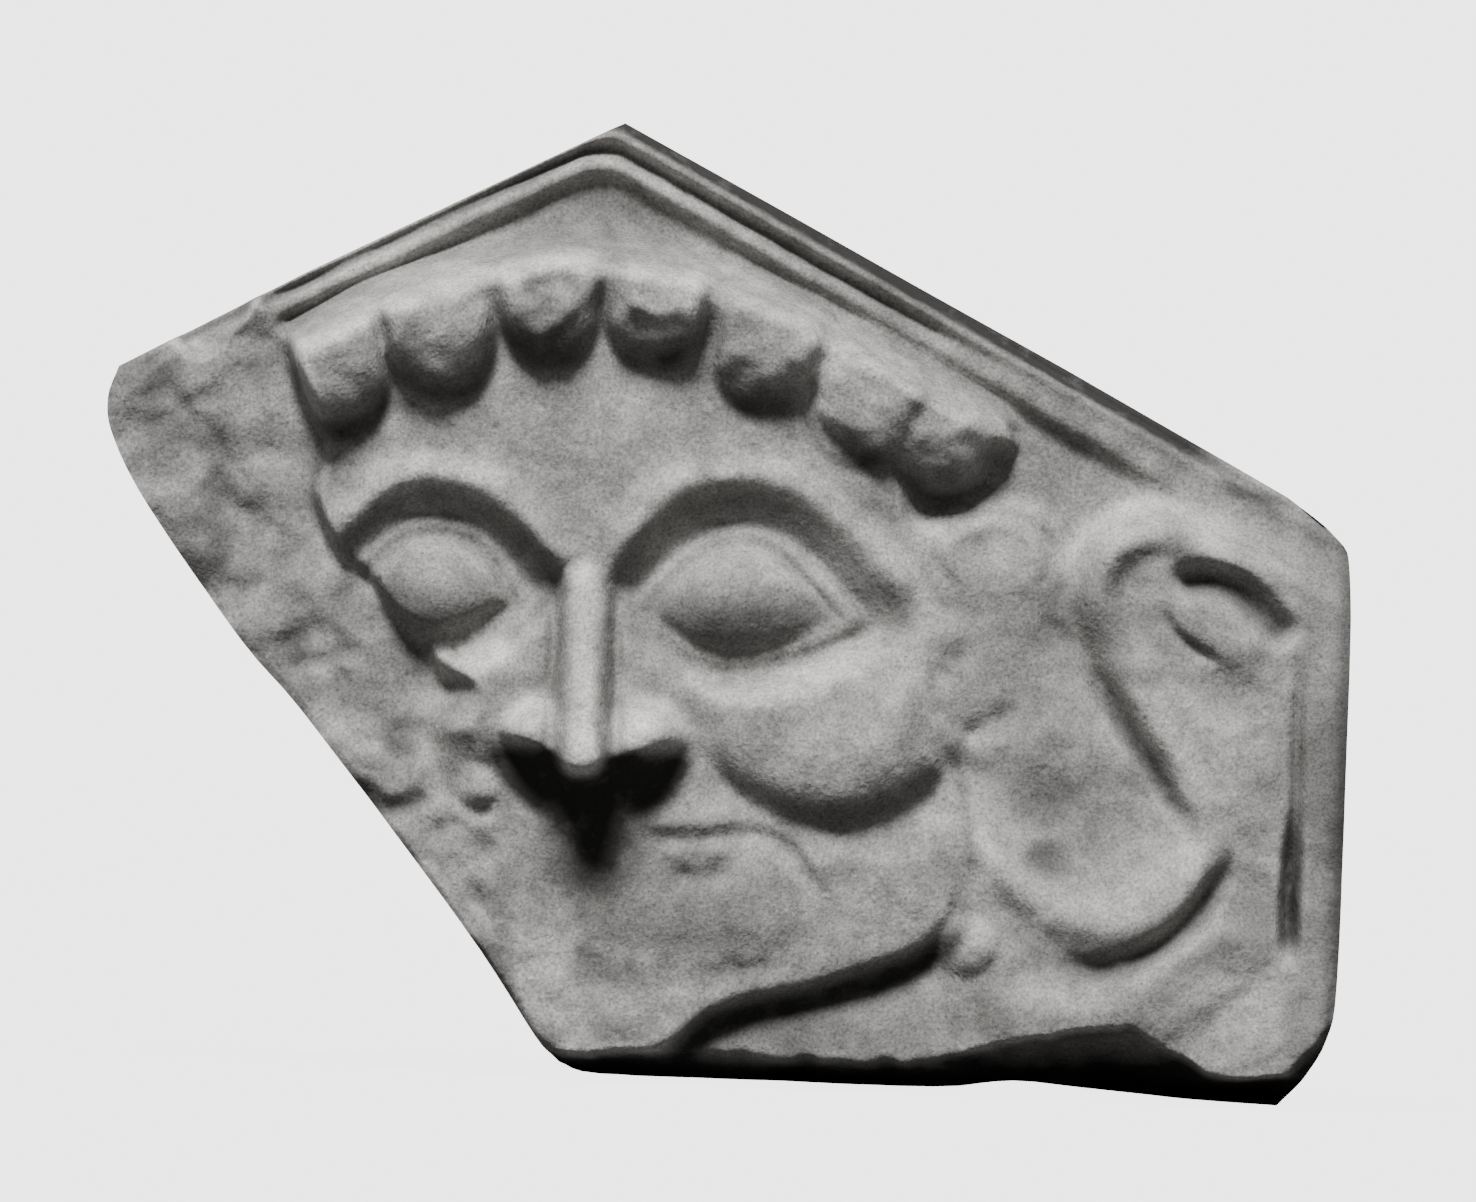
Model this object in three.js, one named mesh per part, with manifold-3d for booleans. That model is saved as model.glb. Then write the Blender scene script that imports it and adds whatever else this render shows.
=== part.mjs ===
// Gorgon antefix: a pentagonal fired-clay plaque with a gorgon's mask in relief, broken away on its left.
// Millimetres, +Z up. The back is the plane Y = 0, and the relief rises from it towards -Y.
// The relief is one height over the back, built up from the ground, the snakes, the face and the hair, and
// then cut down by the breaks. The mouldings are a solid of their own along the rakes, joined to it.

import * as THREE from 'three';
import Module from 'manifold-3d';

// Plaque
const APEX_Z = 95.7; // top of the gable over the centre of the plaque
const FOOT_Z = -95.4; // lower edge
const RIGHT_X = 149.6; // right edge, half the width of the whole plaque
const PITCH = 27.0; // slope of both rakes, degrees
const GROUND = 25.0; // thickness at the bare ground
const FOOT_GROUND = 3.5; // the ground thickens under the chin
const SHOULDER_RUN = 13.6; // worn shoulder, along the rake
const SHOULDER_DROP = 15.5; // worn shoulder, down the right side
const CORNER = 12.0; // broken lower right corner
const BREAK_TOP = [-101.2, 36.0]; // where the left break leaves the rake
const BREAK_FOOT = [-7.5, -91.5]; // where it meets the foot
const BREAK_BELLY = 3.0; // how far the break bulges outwards

// Mouldings along the rakes: two fillets with a groove between them and a rim outside that is set back
const MOULD_AXIS = -4.0; // centre line of the mouldings and of the face
const MOULD_INNER = 9.4; // their inner edge, below the apex
const MOULD_RISE = 7.0;
const MOULD_FLANK = 1.4; // half the width of the inner flank
const GROOVE_AT = 4.7; // middle of the groove, out from the inner edge
const GROOVE_HALF = 1.7;
const GROOVE_DEPTH = 4.0;
const RIM_AT = 8.4;
const RIM_FLANK = 0.8;
const RIM_DEPTH = 4.5;
const MOULD_ROOT = 4.0; // how deep in the plaque the mouldings start
const MOULD_STATIONS = [-1.05, -0.9, -0.83, -0.4, -0.06, -0.03, 0, 0.25, 0.4, 0.55, 0.7, 0.82, 1.05]; // shares

// Face
const FACE_LEVEL = 15.0; // forehead over the ground
const FACE_HALF_WIDTH = 76.0;
const FACE_SIDE_FALL = 5.5;
const CHIN_FALL = 4.5;
const LEFT_SCALE = 0.93; // the left half was modelled a little narrower
const BROW_HALF = 8.0;
const BROW_RISE = 3.6;
const EYE_DEPTH = 8.5; // floor of the socket over the ground
const LID_RISE = 3.0;
const LID_WIDTH = 2.4;
const BALL_RISE = 8.0;
const BALL_CENTRE = [30.5, 0.5];
const BALL_HALF = [19.5, 14.5];
const CHEEK_RISE = 11.5;
const CHEEK_CENTRE = [47.0, -24.0];
const CHEEK_HALF = [38.0, 27.0];
const NOSE_ROOT_Z = 10.0;
const NOSE_TIP_Z = -29.0;
const NOSE_ROOT = 14.5; // ridge of the nose over the ground, at the root and at the tip
const NOSE_TIP = 33.0;
const NOSE_HALF = [3.6, 5.5];
const NOSE_SIDE = 4.4;
const WING_CENTRE = [14.2, -25.0];
const WING_HALF = 9.2;
const WING_HEIGHT = [13.0, 8.0]; // above and below the centre
const WING_RISE = 15.8;
const NOSE_BASE = 11.0; // upper lip over the ground, under the nose
const NOSE_BODY = 13.0;
const LIP_RISE = 2.0;

// Hair: four locks on each side of a parting, rolled under at their tips
const PARTING_X = -2.3;
const LOCKS = 4;
const LOCK_FIRST = 9.75; // first tip from the parting, and then one pitch to the next
const LOCK_PITCH = 19.3;
const LOCK_TIP_Z = 47.4;
const LOCK_DROP = 7.3;
const LOCK_HALF = 11.6;
const LOCK_RISE = 20.5;
const LOCK_RISE_STEP = 0.7;
const LOCK_ROLL = 11.0;
const LOCK_LENGTH = 20.5;

// Snakes, ear and border
const EAR_RISE = 6.5;
const COIL_RISE = 9.5;
const SNAKE_RISE = 9.5;
const BORDER = 10.0; // width of the strip along the right edge
const BORDER_RISE = 6.5;

// Breaks
const SCAR_LEVEL = 33.5; // the spalled left side, at its inner edge
const SCAR_SLOPE = 0.13;
const SCAR_STEP = 2.4;
const FOOT_LIP = 8.0; // what is left of the thickness along the broken foot
const FOOT_SLOPE = 3.0;
const FOOT_EDGE_Z = -90.5;

// Mesh
const FIELD_MARGIN = 2.6; // the relief is worked out on a square that reaches past the plaque
const CELLS = 256;
const TOLERANCE = 0.62; // how far the surface may lie from the relief
const FRONT_CLEAR = 90.0; // the outline is drawn from in front of the highest relief
const BACK_CLEAR = 5.0;

const FIRED_CLAY = new THREE.MeshStandardMaterial({ color: 0xa79f90, roughness: 0.88, metalness: 0.0 });

const sq = (value) => value * value;
const clamp = (value, low, high) => Math.min(Math.max(value, low), high);

function ramp(low, high, value) {
  const share = clamp((value - low) / (high - low), 0, 1);
  return share * share * (3 - 2 * share);
}

function bell(value) {
  return Math.abs(value) < 1 ? sq(1 - value * value) : 0;
}

function softMax(a, b, width) {
  const share = clamp(0.5 + (0.5 * (a - b)) / width, 0, 1);
  return b + (a - b) * share + width * share * (1 - share);
}

function softMin(a, b, width) {
  return -softMax(-a, -b, width);
}

function dome(x, z, centre, half, rise, turn = 0, power = 0.75) {
  const angle = THREE.MathUtils.degToRad(turn);
  const u = ((x - centre[0]) * Math.cos(angle) + (z - centre[1]) * Math.sin(angle)) / half[0];
  const v = (-(x - centre[0]) * Math.sin(angle) + (z - centre[1]) * Math.cos(angle)) / half[1];
  return rise * Math.pow(Math.max(1 - u * u - v * v, 0), power);
}

// Smooth noise between -1 and 1 from a hash of the corners of square cells
function noise(x, z, size, seed) {
  const corner = (i, j) => {
    const n = Math.sin(i * 127.1 + j * 311.7 + seed * 74.7) * 43758.5453;
    return 2 * (n - Math.floor(n)) - 1;
  };
  const i = Math.floor(x / size);
  const j = Math.floor(z / size);
  const f = ramp(0, 1, x / size - i);
  const g = ramp(0, 1, z / size - j);
  const low = THREE.MathUtils.lerp(corner(i, j), corner(i + 1, j), f);
  const high = THREE.MathUtils.lerp(corner(i, j + 1), corner(i + 1, j + 1), f);
  return THREE.MathUtils.lerp(low, high, g);
}

// A smooth curve through a few points. It says how far a point is from it, on which side and how far along.
class Line {
  constructor(points, closed = false) {
    const knots = points.map(([x, z]) => new THREE.Vector3(x, z, 0));
    const curve = new THREE.CatmullRomCurve3(knots, closed, 'catmullrom', 0.5);
    this.points = curve.getPoints(points.length * 5);
    this.box = new THREE.Box2().setFromPoints(this.points);
    this.length = curve.getLength();
  }

  near(x, z, reach) {
    const { min, max } = this.box;
    if (x < min.x - reach || x > max.x + reach || z < min.y - reach || z > max.y + reach) {
      return { distance: 1e3, along: 0, side: 1 };
    }
    const best = { distance: 1e6, along: 0, side: 1 };
    let run = 0;
    for (let i = 1; i < this.points.length; i += 1) {
      const a = this.points[i - 1];
      const b = this.points[i];
      const dx = b.x - a.x;
      const dz = b.y - a.y;
      const span = Math.hypot(dx, dz);
      const share = clamp(((x - a.x) * dx + (z - a.y) * dz) / (span * span), 0, 1);
      const px = x - a.x - share * dx;
      const pz = z - a.y - share * dz;
      const distance = Math.hypot(px, pz);
      if (distance < best.distance) {
        best.distance = distance;
        best.along = (run + share * span) / this.length;
        best.side = dx * pz - dz * px >= 0 ? 1 : -1;
      }
      run += span;
    }
    return best;
  }

  // Distance from a closed line, positive inside it
  inside(x, z, reach) {
    const { distance } = this.near(x, z, reach);
    if (distance > 999) {
      return -distance;
    }
    let odd = false;
    for (let i = 1; i < this.points.length; i += 1) {
      const a = this.points[i - 1];
      const b = this.points[i];
      const spans = a.y > z !== b.y > z;
      if (spans && x < ((b.x - a.x) * (z - a.y)) / (b.y - a.y) + a.x) {
        odd = !odd;
      }
    }
    return odd ? distance : -distance;
  }

  // Height of a round bead or groove of this half width along the line
  bead(x, z, half) {
    return bell(this.near(x, z, half).distance / half);
  }
}

// Lines of the face, as distances outwards from its centre line and heights
const FACE_EDGE = new Line([[-20, 74], [20, 68], [42, 52], [60, 34], [67, 16], [69.5, -10], [72, -22], [76, -33],
  [78.2, -46], [77.6, -58], [72, -66.8], [61, -72.4], [48, -77], [36, -80.2], [28, -83.2], [23, -88], [16, -92.5],
  [4, -99], [-20, -104]], true);
const BROW = new Line([[3, 5], [6.5, 11], [11, 17.5], [18, 22.8], [29, 25.6], [40, 24.2], [50, 18.8], [60, 10.5],
  [69, 2]]);
const SOCKET = new Line([[3.5, 2], [7.5, 10], [12, 16.2], [18, 21.3], [29, 24.3], [39.5, 22.8], [49, 17.3],
  [59, 9.3], [70, 0.5], [66, -6], [54, -12], [42, -17.5], [29, -19.5], [18, -15.5], [9, -8.5]], true);
const LIDS = new Line([[9, -2.5], [13, 4], [18, 9.6], [24, 13.8], [31, 15.6], [38.5, 13.5], [47, 8], [55, 2.4],
  [63, -2.6], [52, -5.2], [42, -9.2], [32, -12.2], [24, -11.4], [15.5, -7.2]], true);
const CHEEK_FOLD = new Line([[13, -11], [19, -16], [22.5, -23], [25.5, -30], [33, -35.5], [42, -39.8], [53, -42],
  [63, -40.8], [70, -36.5], [76, -29]]);
const LIP = new Line([[8, -43], [18, -44.6], [26, -44.6], [36, -43.4], [43.5, -45], [48, -50], [50.5, -58]]);

// Lines of the hair and of what lies to the right of the face
const CROWN = new Line([[-74, 42], [-62, 52], [-46, 60.5], [-28, 67], [-4, 70], [20, 66.5], [42, 58], [62, 47.5],
  [80, 38], [92, 30]]);
const EAR = new Line([[56, 14], [63, 22.5], [74, 25.5], [85, 22.5], [91.5, 14], [92.5, 3], [90, -8], [94, -18],
  [86, -27], [74, -30], [60, -28], [56, -8]], true);
const EAR_GROOVE = new Line([[71, -9], [67.3, -13], [66.6, -18], [67.6, -23]]);
const LOBE_GROOVE = new Line([[72, -24.5], [77, -23.4], [81, -19.5], [88, -17.8], [94, -19]]);
const COIL = new Line([[73, -28], [75, -44], [79, -56], [88, -64], [100, -68.2], [112, -65.5], [121, -57.5],
  [126.5, -46], [124, -34], [114, -26], [100, -22], [84, -23]], true);
const SNAKE = new Line([[92.5, 2], [97, -9], [106, -23], [117.5, -40], [122, -47], [129, -46], [134, -38],
  [139, -26], [140, -6], [142, 8], [135, 16], [122, 21.5], [109, 23.8], [98, 20.5], [92.5, 12]], true);
const SNAKE_ARCH = new Line([[95.5, -4], [96.5, 7], [100.5, 14.5], [107.5, 18.5], [116, 18], [125, 14], [132, 8],
  [138, 1]]);
const SNAKE_BACK = new Line([[102, -5], [111, -18], [120, -31], [126, -42]]);
const SNAKE_HOLLOW = new Line([[103.5, -2], [104, 7], [107.5, 12]]);
const SNAKE_THROAT = new Line([[113, 8.5], [119, 10], [125, 9], [130, 4.5], [135, 0]]);
const SNAKE_JAW = new Line([[111.5, 5], [113, -1], [117.5, -4.5], [123, -7]]);
const TAIL = new Line([[70, -76], [84, -81], [98, -83], [112, -80], [121, -73], [130, -62], [137, -50], [128, -46],
  [120, -60], [108, -70], [94, -72.5], [82, -67]], true);
const TAIL_GROOVE = new Line([[93, -68.5], [100, -70], [110, -68], [119, -62], [125, -53.5], [127.5, -45]]);
const CORNER_MASS = new Line([[110, -88], [118, -78], [127, -68], [137, -63], [148, -66], [149, -84], [138, -92],
  [120, -92]], true);
const CORNER_GROOVE = new Line([[109, -80], [118, -74], [126, -66.5], [132, -58]]);
const SCAR = new Line([[-72, 58], [-65, 49], [-62.5, 42], [-59, 34], [-56.5, 28], [-59.5, 21], [-53.5, 8],
  [-46.5, 2.5], [-40.5, -7], [-34, -13], [-29, -19], [-33, -27], [-28.5, -35], [-29, -43], [-25, -53], [-20, -64],
  [-15, -76], [-8, -88], [4, -99], [-30, -104], [-112, -20], [-116, 50], [-96, 55], [-83, 46], [-77, 51]], true);

function rightSide(x, z, ground) {
  let level = ground + EAR_RISE * ramp(-1.5, 7, EAR.inside(x, z, 20));
  const ring = Math.hypot((x - 77) / 1.25, z - 11.5);
  level += (1.3 * bell((ring - 11.3) / 1.7) + bell((ring - 7.6) / 1.5)) * ramp(5, 11, z);
  level += dome(x, z, [69.5, -4], [5.5, 5], 2.2) + dome(x, z, [75.5, -16], [8, 6.5], 3.4);
  level -= 2.2 * EAR_GROOVE.bead(x, z, 2.2) + 2.4 * LOBE_GROOVE.bead(x, z, 2.8);

  const coil = COIL.inside(x, z, 22);
  level = softMax(level, GROUND + COIL_RISE * ramp(-1.6, 5.5, coil) - 3.4 * ramp(6, 20, coil), 1.5);
  level -= dome(x, z, [90, -33], [11, 6.5], 2.2, 0, 1.4) + dome(x, z, [91, -47.5], [5.6, 5], 3, 0, 1.2);

  level = softMax(level, GROUND + SNAKE_RISE * ramp(-1.2, 6.5, SNAKE.inside(x, z, 26)), 0.8);
  level += 3.2 * SNAKE_ARCH.bead(x, z, 6.5) + 2.6 * SNAKE_BACK.bead(x, z, 7.5);
  level -= 3.4 * SNAKE_HOLLOW.bead(x, z, 5) + 6 * SNAKE_THROAT.bead(x, z, 4.8) + 2.2 * SNAKE_JAW.bead(x, z, 1.8);
  level += dome(x, z, [121.5, 1], [13, 6], 2.6, -24) - dome(x, z, [127.5, -15], [11, 8], 2.4, -15, 1.4);

  const strip = RIGHT_X - BORDER;
  level = softMax(level, GROUND + BORDER_RISE * ramp(strip - 1.2, strip + 1.6, x) * ramp(20, 6, z), 0.8);
  const lower = ramp(-25, -45, z);
  const furrow = bell((x - strip) / (2.2 + 1.6 * lower)) * ramp(-2, -14, z) * ramp(-68, -60, z);
  level -= (3.6 + 2.4 * lower) * furrow;

  level = softMax(level, GROUND + 6.5 * ramp(-2, 5, TAIL.inside(x, z, 20)), 1);
  level -= 4.2 * TAIL_GROOVE.bead(x, z, 2.9);
  level += dome(x, z, [75, -68], [6.5, 7.5], 5, 0, 0.6);
  level = softMax(level, GROUND + 8 * ramp(-1, 6, CORNER_MASS.inside(x, z, 20)), 1);
  return level - 2.6 * CORNER_GROOVE.bead(x, z, 3.6);
}

function eye(level, out, z) {
  const floor = GROUND + EYE_DEPTH;
  const wall = clamp(SOCKET.inside(out, z, 14) / EYE_DEPTH, 0, 1);
  const hollow = THREE.MathUtils.lerp(level, floor, 0.35 * wall + 0.65 * ramp(0, 1, wall));
  const lid = LIDS.inside(out, z, 22);
  const rim = floor + LID_RISE * ramp(-1.6, 0.4, lid);
  const ball = floor + 1.2 + dome(out, z, BALL_CENTRE, BALL_HALF, BALL_RISE, 0, 0.5);
  let shape = THREE.MathUtils.lerp(rim, ball, ramp(LID_WIDTH - 0.4, LID_WIDTH + 0.8, lid));
  shape -= 0.9 * bell((lid - LID_WIDTH - 0.3) / 0.9);
  return THREE.MathUtils.lerp(hollow, shape, ramp(-1.6, -0.4, lid));
}

function nose(level, out, z) {
  const base = GROUND + NOSE_BASE;
  const body = dome(out, z, [2.8, -27], [21.5, 18.5], NOSE_BODY, 0, 0.62) * ramp(-8, -24, z);
  let height = Math.max(level, base + body);
  const tall = (z - WING_CENTRE[1]) / (z > WING_CENTRE[1] ? WING_HEIGHT[0] : WING_HEIGHT[1]);
  const round = 1 - sq((out - WING_CENTRE[0]) / WING_HALF) - sq(tall);
  if (round > 0) {
    height = softMax(height, base + WING_RISE * Math.sqrt(round), 1.4);
  }
  const down = clamp((NOSE_ROOT_Z - z) / (NOSE_ROOT_Z - NOSE_TIP_Z), 0, 1);
  const beyond = Math.max(NOSE_TIP_Z - z, z - NOSE_ROOT_Z, 0);
  const half = THREE.MathUtils.lerp(NOSE_HALF[0], NOSE_HALF[1], down);
  const raised = 1 - ramp(-1.4, NOSE_SIDE, Math.hypot(out, beyond) - half);
  const ridge = GROUND + THREE.MathUtils.lerp(NOSE_ROOT, NOSE_TIP, down);
  return Math.max(height, THREE.MathUtils.lerp(height, ridge, raised));
}

function face(x, z) {
  const right = x > MOULD_AXIS;
  const out = right ? x - MOULD_AXIS : (MOULD_AXIS - x) / LEFT_SCALE;
  let level = GROUND + FACE_LEVEL - FACE_SIDE_FALL * sq(out / FACE_HALF_WIDTH) - CHIN_FALL * ramp(-30, -85, z);
  const brow = BROW.near(out, z, BROW_HALF);
  level += BROW_RISE * bell(brow.distance / BROW_HALF) * ramp(0, 0.15, brow.along) * ramp(1, 0.9, brow.along);

  const fold = CHEEK_FOLD.near(out, z, 40);
  const above = fold.distance * fold.side;
  level += dome(out, z, CHEEK_CENTRE, CHEEK_HALF, CHEEK_RISE, -6, 0.9) * ramp(-1.2, 7, above);
  level = nose(eye(level, out, z), out, z);

  const lip = LIP.near(out, z, 16);
  const under = -lip.distance * lip.side;
  const drawn = ramp(0, 0.12, lip.along) * ramp(1, 0.78, lip.along);
  level += LIP_RISE * bell(under < 0 ? under / 9 : under / 2.4) * drawn;
  level -= bell((under - 2.4) / 1.5) * drawn;
  return { level, edge: ramp(-2.2, 2.8, FACE_EDGE.inside(out, z, 30)) };
}

function hair(x, z) {
  const crown = CROWN.near(x, z, 40);
  const up = crown.distance * crown.side;
  const parted = ramp(1, -9, up);
  let rise = 0;
  for (let i = 0; i < LOCKS; i += 1) {
    const turn = THREE.MathUtils.degToRad(10 * i + 2.8 * i * i);
    const tip = [LOCK_FIRST + i * LOCK_PITCH, LOCK_TIP_Z - i * LOCK_DROP];
    for (const side of [-1, 1]) {
      const dx = side * (x - PARTING_X) - tip[0];
      const dz = z - tip[1];
      const beyond = -dx * Math.sin(turn) - dz * Math.cos(turn);
      const across = Math.abs(dx * Math.cos(turn) - dz * Math.sin(turn)) / LOCK_HALF;
      const over = Math.max(beyond + LOCK_ROLL - 4.5, 0) / LOCK_ROLL;
      const rolled = 1 - Math.pow(over, 2.2);
      const lock = Math.sqrt(Math.max(rolled - Math.pow(across, 4), 0));
      const reach = ramp(1.6, 1, across) * ramp(-LOCK_LENGTH * 2, -LOCK_LENGTH, beyond);
      const crest = Math.sqrt(Math.max(rolled, 0)) * reach;
      const height = LOCK_RISE + LOCK_RISE_STEP * i;
      rise = Math.max(rise, height * THREE.MathUtils.lerp(crest, lock, parted));
    }
  }
  return GROUND + rise * ramp(7, -6.5, up) * ramp(0, 0.05, crown.along) * ramp(1, 0.95, crown.along);
}

function broken(level, x, z) {
  const scar = SCAR.inside(x, z, 60);
  const step = SCAR_STEP * ramp(-0.6, 0.6, noise(x * 0.75 + z * 0.5, z * 0.9 - x * 0.4, 21, 5));
  const spall = SCAR_LEVEL - SCAR_SLOPE * Math.max(scar, 0) + 1.3 * noise(x, z, 12, 11) - step;
  const left = THREE.MathUtils.lerp(level, spall, ramp(-1.6, 1.2, scar));
  const edge = FOOT_EDGE_Z + 5.2 * ramp(62, 84, x) * ramp(116, 106, x) + 0.7 * noise(x, 0, 13, 21);
  const lip = FOOT_LIP + FOOT_SLOPE * Math.max(z - FOOT_Z, 0) + 45 * ramp(edge - 1.5, edge + 2, z);
  return softMin(left, lip, 1.2);
}

function height(x, z) {
  let level = rightSide(x, z, GROUND + FOOT_GROUND * ramp(-66, -84, z) * ramp(90, 60, x));
  const mask = face(x, z);
  level = Math.max(level, THREE.MathUtils.lerp(level, mask.level, mask.edge));
  return broken(Math.max(level, hair(x, z)), x, z);
}

// Outline of what survives, clockwise from the apex
function outline() {
  const slope = Math.tan(THREE.MathUtils.degToRad(PITCH));
  const rake = (x) => APEX_Z - slope * Math.abs(x);
  const shoulder = RIGHT_X - SHOULDER_RUN;
  const side = rake(RIGHT_X) - SHOULDER_DROP + 6;
  const shape = new THREE.Shape();
  shape.moveTo(0, APEX_Z);
  shape.lineTo(shoulder, rake(shoulder));
  shape.quadraticCurveTo(RIGHT_X - 1, rake(RIGHT_X) - 1, RIGHT_X, side);
  shape.lineTo(RIGHT_X, FOOT_Z + 2.2 * CORNER);
  shape.quadraticCurveTo(RIGHT_X - 1, FOOT_Z + 0.6 * CORNER, RIGHT_X - 0.85 * CORNER, FOOT_Z - 0.9);
  shape.lineTo(RIGHT_X - 45, FOOT_Z + 0.9);
  shape.quadraticCurveTo(RIGHT_X - 62, FOOT_Z + 3.4, RIGHT_X - 80, FOOT_Z);
  shape.lineTo(BREAK_FOOT[0] + 10, FOOT_Z);
  shape.quadraticCurveTo(BREAK_FOOT[0] + 2, FOOT_Z, BREAK_FOOT[0] - 3, BREAK_FOOT[1] + 4);
  const middle = [0, 1].map((k) => (BREAK_TOP[k] + BREAK_FOOT[k]) / 2 - BREAK_BELLY);
  const upper = [BREAK_TOP[0] + 9.5, BREAK_TOP[1] - 22];
  shape.splineThru([middle, upper, BREAK_TOP].map((place) => new THREE.Vector2(...place)));
  shape.quadraticCurveTo(BREAK_TOP[0] + 0.5, rake(BREAK_TOP[0]) - 2, BREAK_TOP[0] + 5, rake(BREAK_TOP[0] + 5));
  shape.closePath();
  return shape;
}

// Splits a square of right triangles along their long sides until each is as near to the height as is wanted
class Mesher {
  constructor(left, bottom, side, cells, heightAt) {
    Object.assign(this, { left, bottom, side, cells });
    this.row = cells + 1;
    this.levels = new Float64Array(this.row * this.row);
    this.errors = new Float64Array(this.row * this.row);
    for (let j = 0; j <= cells; j += 1) {
      for (let i = 0; i <= cells; i += 1) {
        this.levels[this.at(i, j)] = heightAt(this.x(i), this.z(j));
      }
    }
    for (let depth = 2 * Math.log2(cells) - 1; depth >= 0; depth -= 1) {
      this.measure(depth);
    }
  }

  at(i, j) {
    return j * this.row + i;
  }

  x(i) {
    return this.left + (i * this.side) / this.cells;
  }

  z(j) {
    return this.bottom + (j * this.side) / this.cells;
  }

  // How much of a difference in height counts across the surface, which is less where it is steep
  facing(i, j) {
    const step = this.side / this.cells;
    const [w, e] = [Math.max(i - 1, 0), Math.min(i + 1, this.cells)];
    const [s, n] = [Math.max(j - 1, 0), Math.min(j + 1, this.cells)];
    const alongX = (this.levels[this.at(e, j)] - this.levels[this.at(w, j)]) / ((e - w) * step);
    const alongZ = (this.levels[this.at(i, n)] - this.levels[this.at(i, s)]) / ((n - s) * step);
    return 1 / Math.hypot(1, alongX, alongZ);
  }

  // Calls act with the corners of both halves: the ends of the long side and the square corner
  roots(act) {
    const n = this.cells;
    act([0, 0], [n, n], [n, 0]);
    act([n, n], [0, 0], [0, n]);
  }

  measure(depth) {
    const walk = (a, b, c, left) => {
      const middle = [(a[0] + b[0]) / 2, (a[1] + b[1]) / 2];
      if (left > 0) {
        walk(c, a, middle, left - 1);
        walk(b, c, middle, left - 1);
        return;
      }
      const here = this.at(...middle);
      const flat = (this.levels[this.at(...a)] + this.levels[this.at(...b)]) / 2;
      const off = Math.abs(this.levels[here] - flat) * this.facing(...middle);
      let error = Math.max(this.errors[here], off);
      for (const end of [a, b]) {
        const child = [(end[0] + c[0]) / 2, (end[1] + c[1]) / 2];
        if (Number.isInteger(child[0]) && Number.isInteger(child[1])) {
          error = Math.max(error, this.errors[this.at(...child)]);
        }
      }
      this.errors[here] = error;
    };
    this.roots((a, b, c) => walk(a, b, c, depth));
  }

  triangles(tolerance) {
    const found = [];
    const walk = (a, b, c) => {
      const middle = [(a[0] + b[0]) / 2, (a[1] + b[1]) / 2];
      const whole = Number.isInteger(middle[0]) && Number.isInteger(middle[1]);
      if (whole && this.errors[this.at(...middle)] > tolerance) {
        walk(c, a, middle);
        walk(b, c, middle);
      } else {
        found.push([a, b, c]);
      }
    };
    this.roots(walk);
    return found;
  }
}

function toSolid(wasm, vertices, triangles) {
  const mesh = new wasm.Mesh({
    numProp: 3,
    vertProperties: Float32Array.from(vertices),
    triVerts: Uint32Array.from(triangles),
  });
  return new wasm.Manifold(mesh);
}

// Block under the relief: the carved front, four sides and a flat back behind the plaque's own back
function carvedBlock(wasm, heightAt) {
  const side = Math.max(RIGHT_X - BREAK_TOP[0], APEX_Z - FOOT_Z) + 2 * FIELD_MARGIN;
  const left = (RIGHT_X + BREAK_TOP[0] - side) / 2;
  const bottom = (APEX_Z + FOOT_Z - side) / 2;
  const mesher = new Mesher(left, bottom, side, CELLS, heightAt);
  const vertices = [];
  const triangles = [];
  const numbers = new Map();
  const point = ([i, j], back) => {
    const key = `${i},${j},${back}`;
    if (!numbers.has(key)) {
      numbers.set(key, vertices.length / 3);
      vertices.push(mesher.x(i), back ? BACK_CLEAR : -mesher.levels[mesher.at(i, j)], mesher.z(j));
    }
    return numbers.get(key);
  };
  const centre = [CELLS / 2, CELLS / 2];
  const onEdge = (p, q) => [0, 1].some((k) => p[k] === q[k] && (p[k] === 0 || p[k] === CELLS));
  for (const [a, b, c] of mesher.triangles(TOLERANCE)) {
    triangles.push(point(a), point(c), point(b));
    for (const [p, q] of [[a, c], [c, b], [b, a]]) {
      if (onEdge(p, q)) {
        triangles.push(point(p), point(p, true), point(q, true), point(p), point(q, true), point(q));
        triangles.push(point(p, true), point(centre, true), point(q, true));
      }
    }
  }
  return toSolid(wasm, vertices, triangles);
}

// Profile of the mouldings at one place along a rake, from their inner edge outwards. The outer fillet is
// lost on the left, the groove dies out on the right and both ends are worn.
function mouldingProfile(x) {
  const onRight = x >= MOULD_AXIS;
  const wornRight = 0.4 + 0.6 * ramp(RIGHT_X - 28, RIGHT_X - 52, x);
  const wornLeft = ramp(BREAK_TOP[0] + 10, BREAK_TOP[0] + 18, x);
  const full = MOULD_RISE * (onRight ? wornRight : wornLeft);
  const cut = GROOVE_DEPTH * (onRight ? ramp(RIGHT_X - 74, RIGHT_X - 100, x) : 1);
  const outer = onRight ? full : full - cut * ramp(MOULD_AXIS - 4, MOULD_AXIS - 10, x);
  return [
    [-MOULD_FLANK, -1],
    [MOULD_FLANK, full],
    [GROOVE_AT - GROOVE_HALF, full],
    [GROOVE_AT, full - cut],
    [GROOVE_AT + GROOVE_HALF, outer],
    [RIM_AT, outer],
    [RIM_AT + RIM_FLANK, outer - RIM_DEPTH],
    [2 * RIM_AT, outer - RIM_DEPTH],
    [2 * RIM_AT, MOULD_ROOT - GROUND],
    [-MOULD_FLANK, MOULD_ROOT - GROUND],
  ];
}

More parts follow.
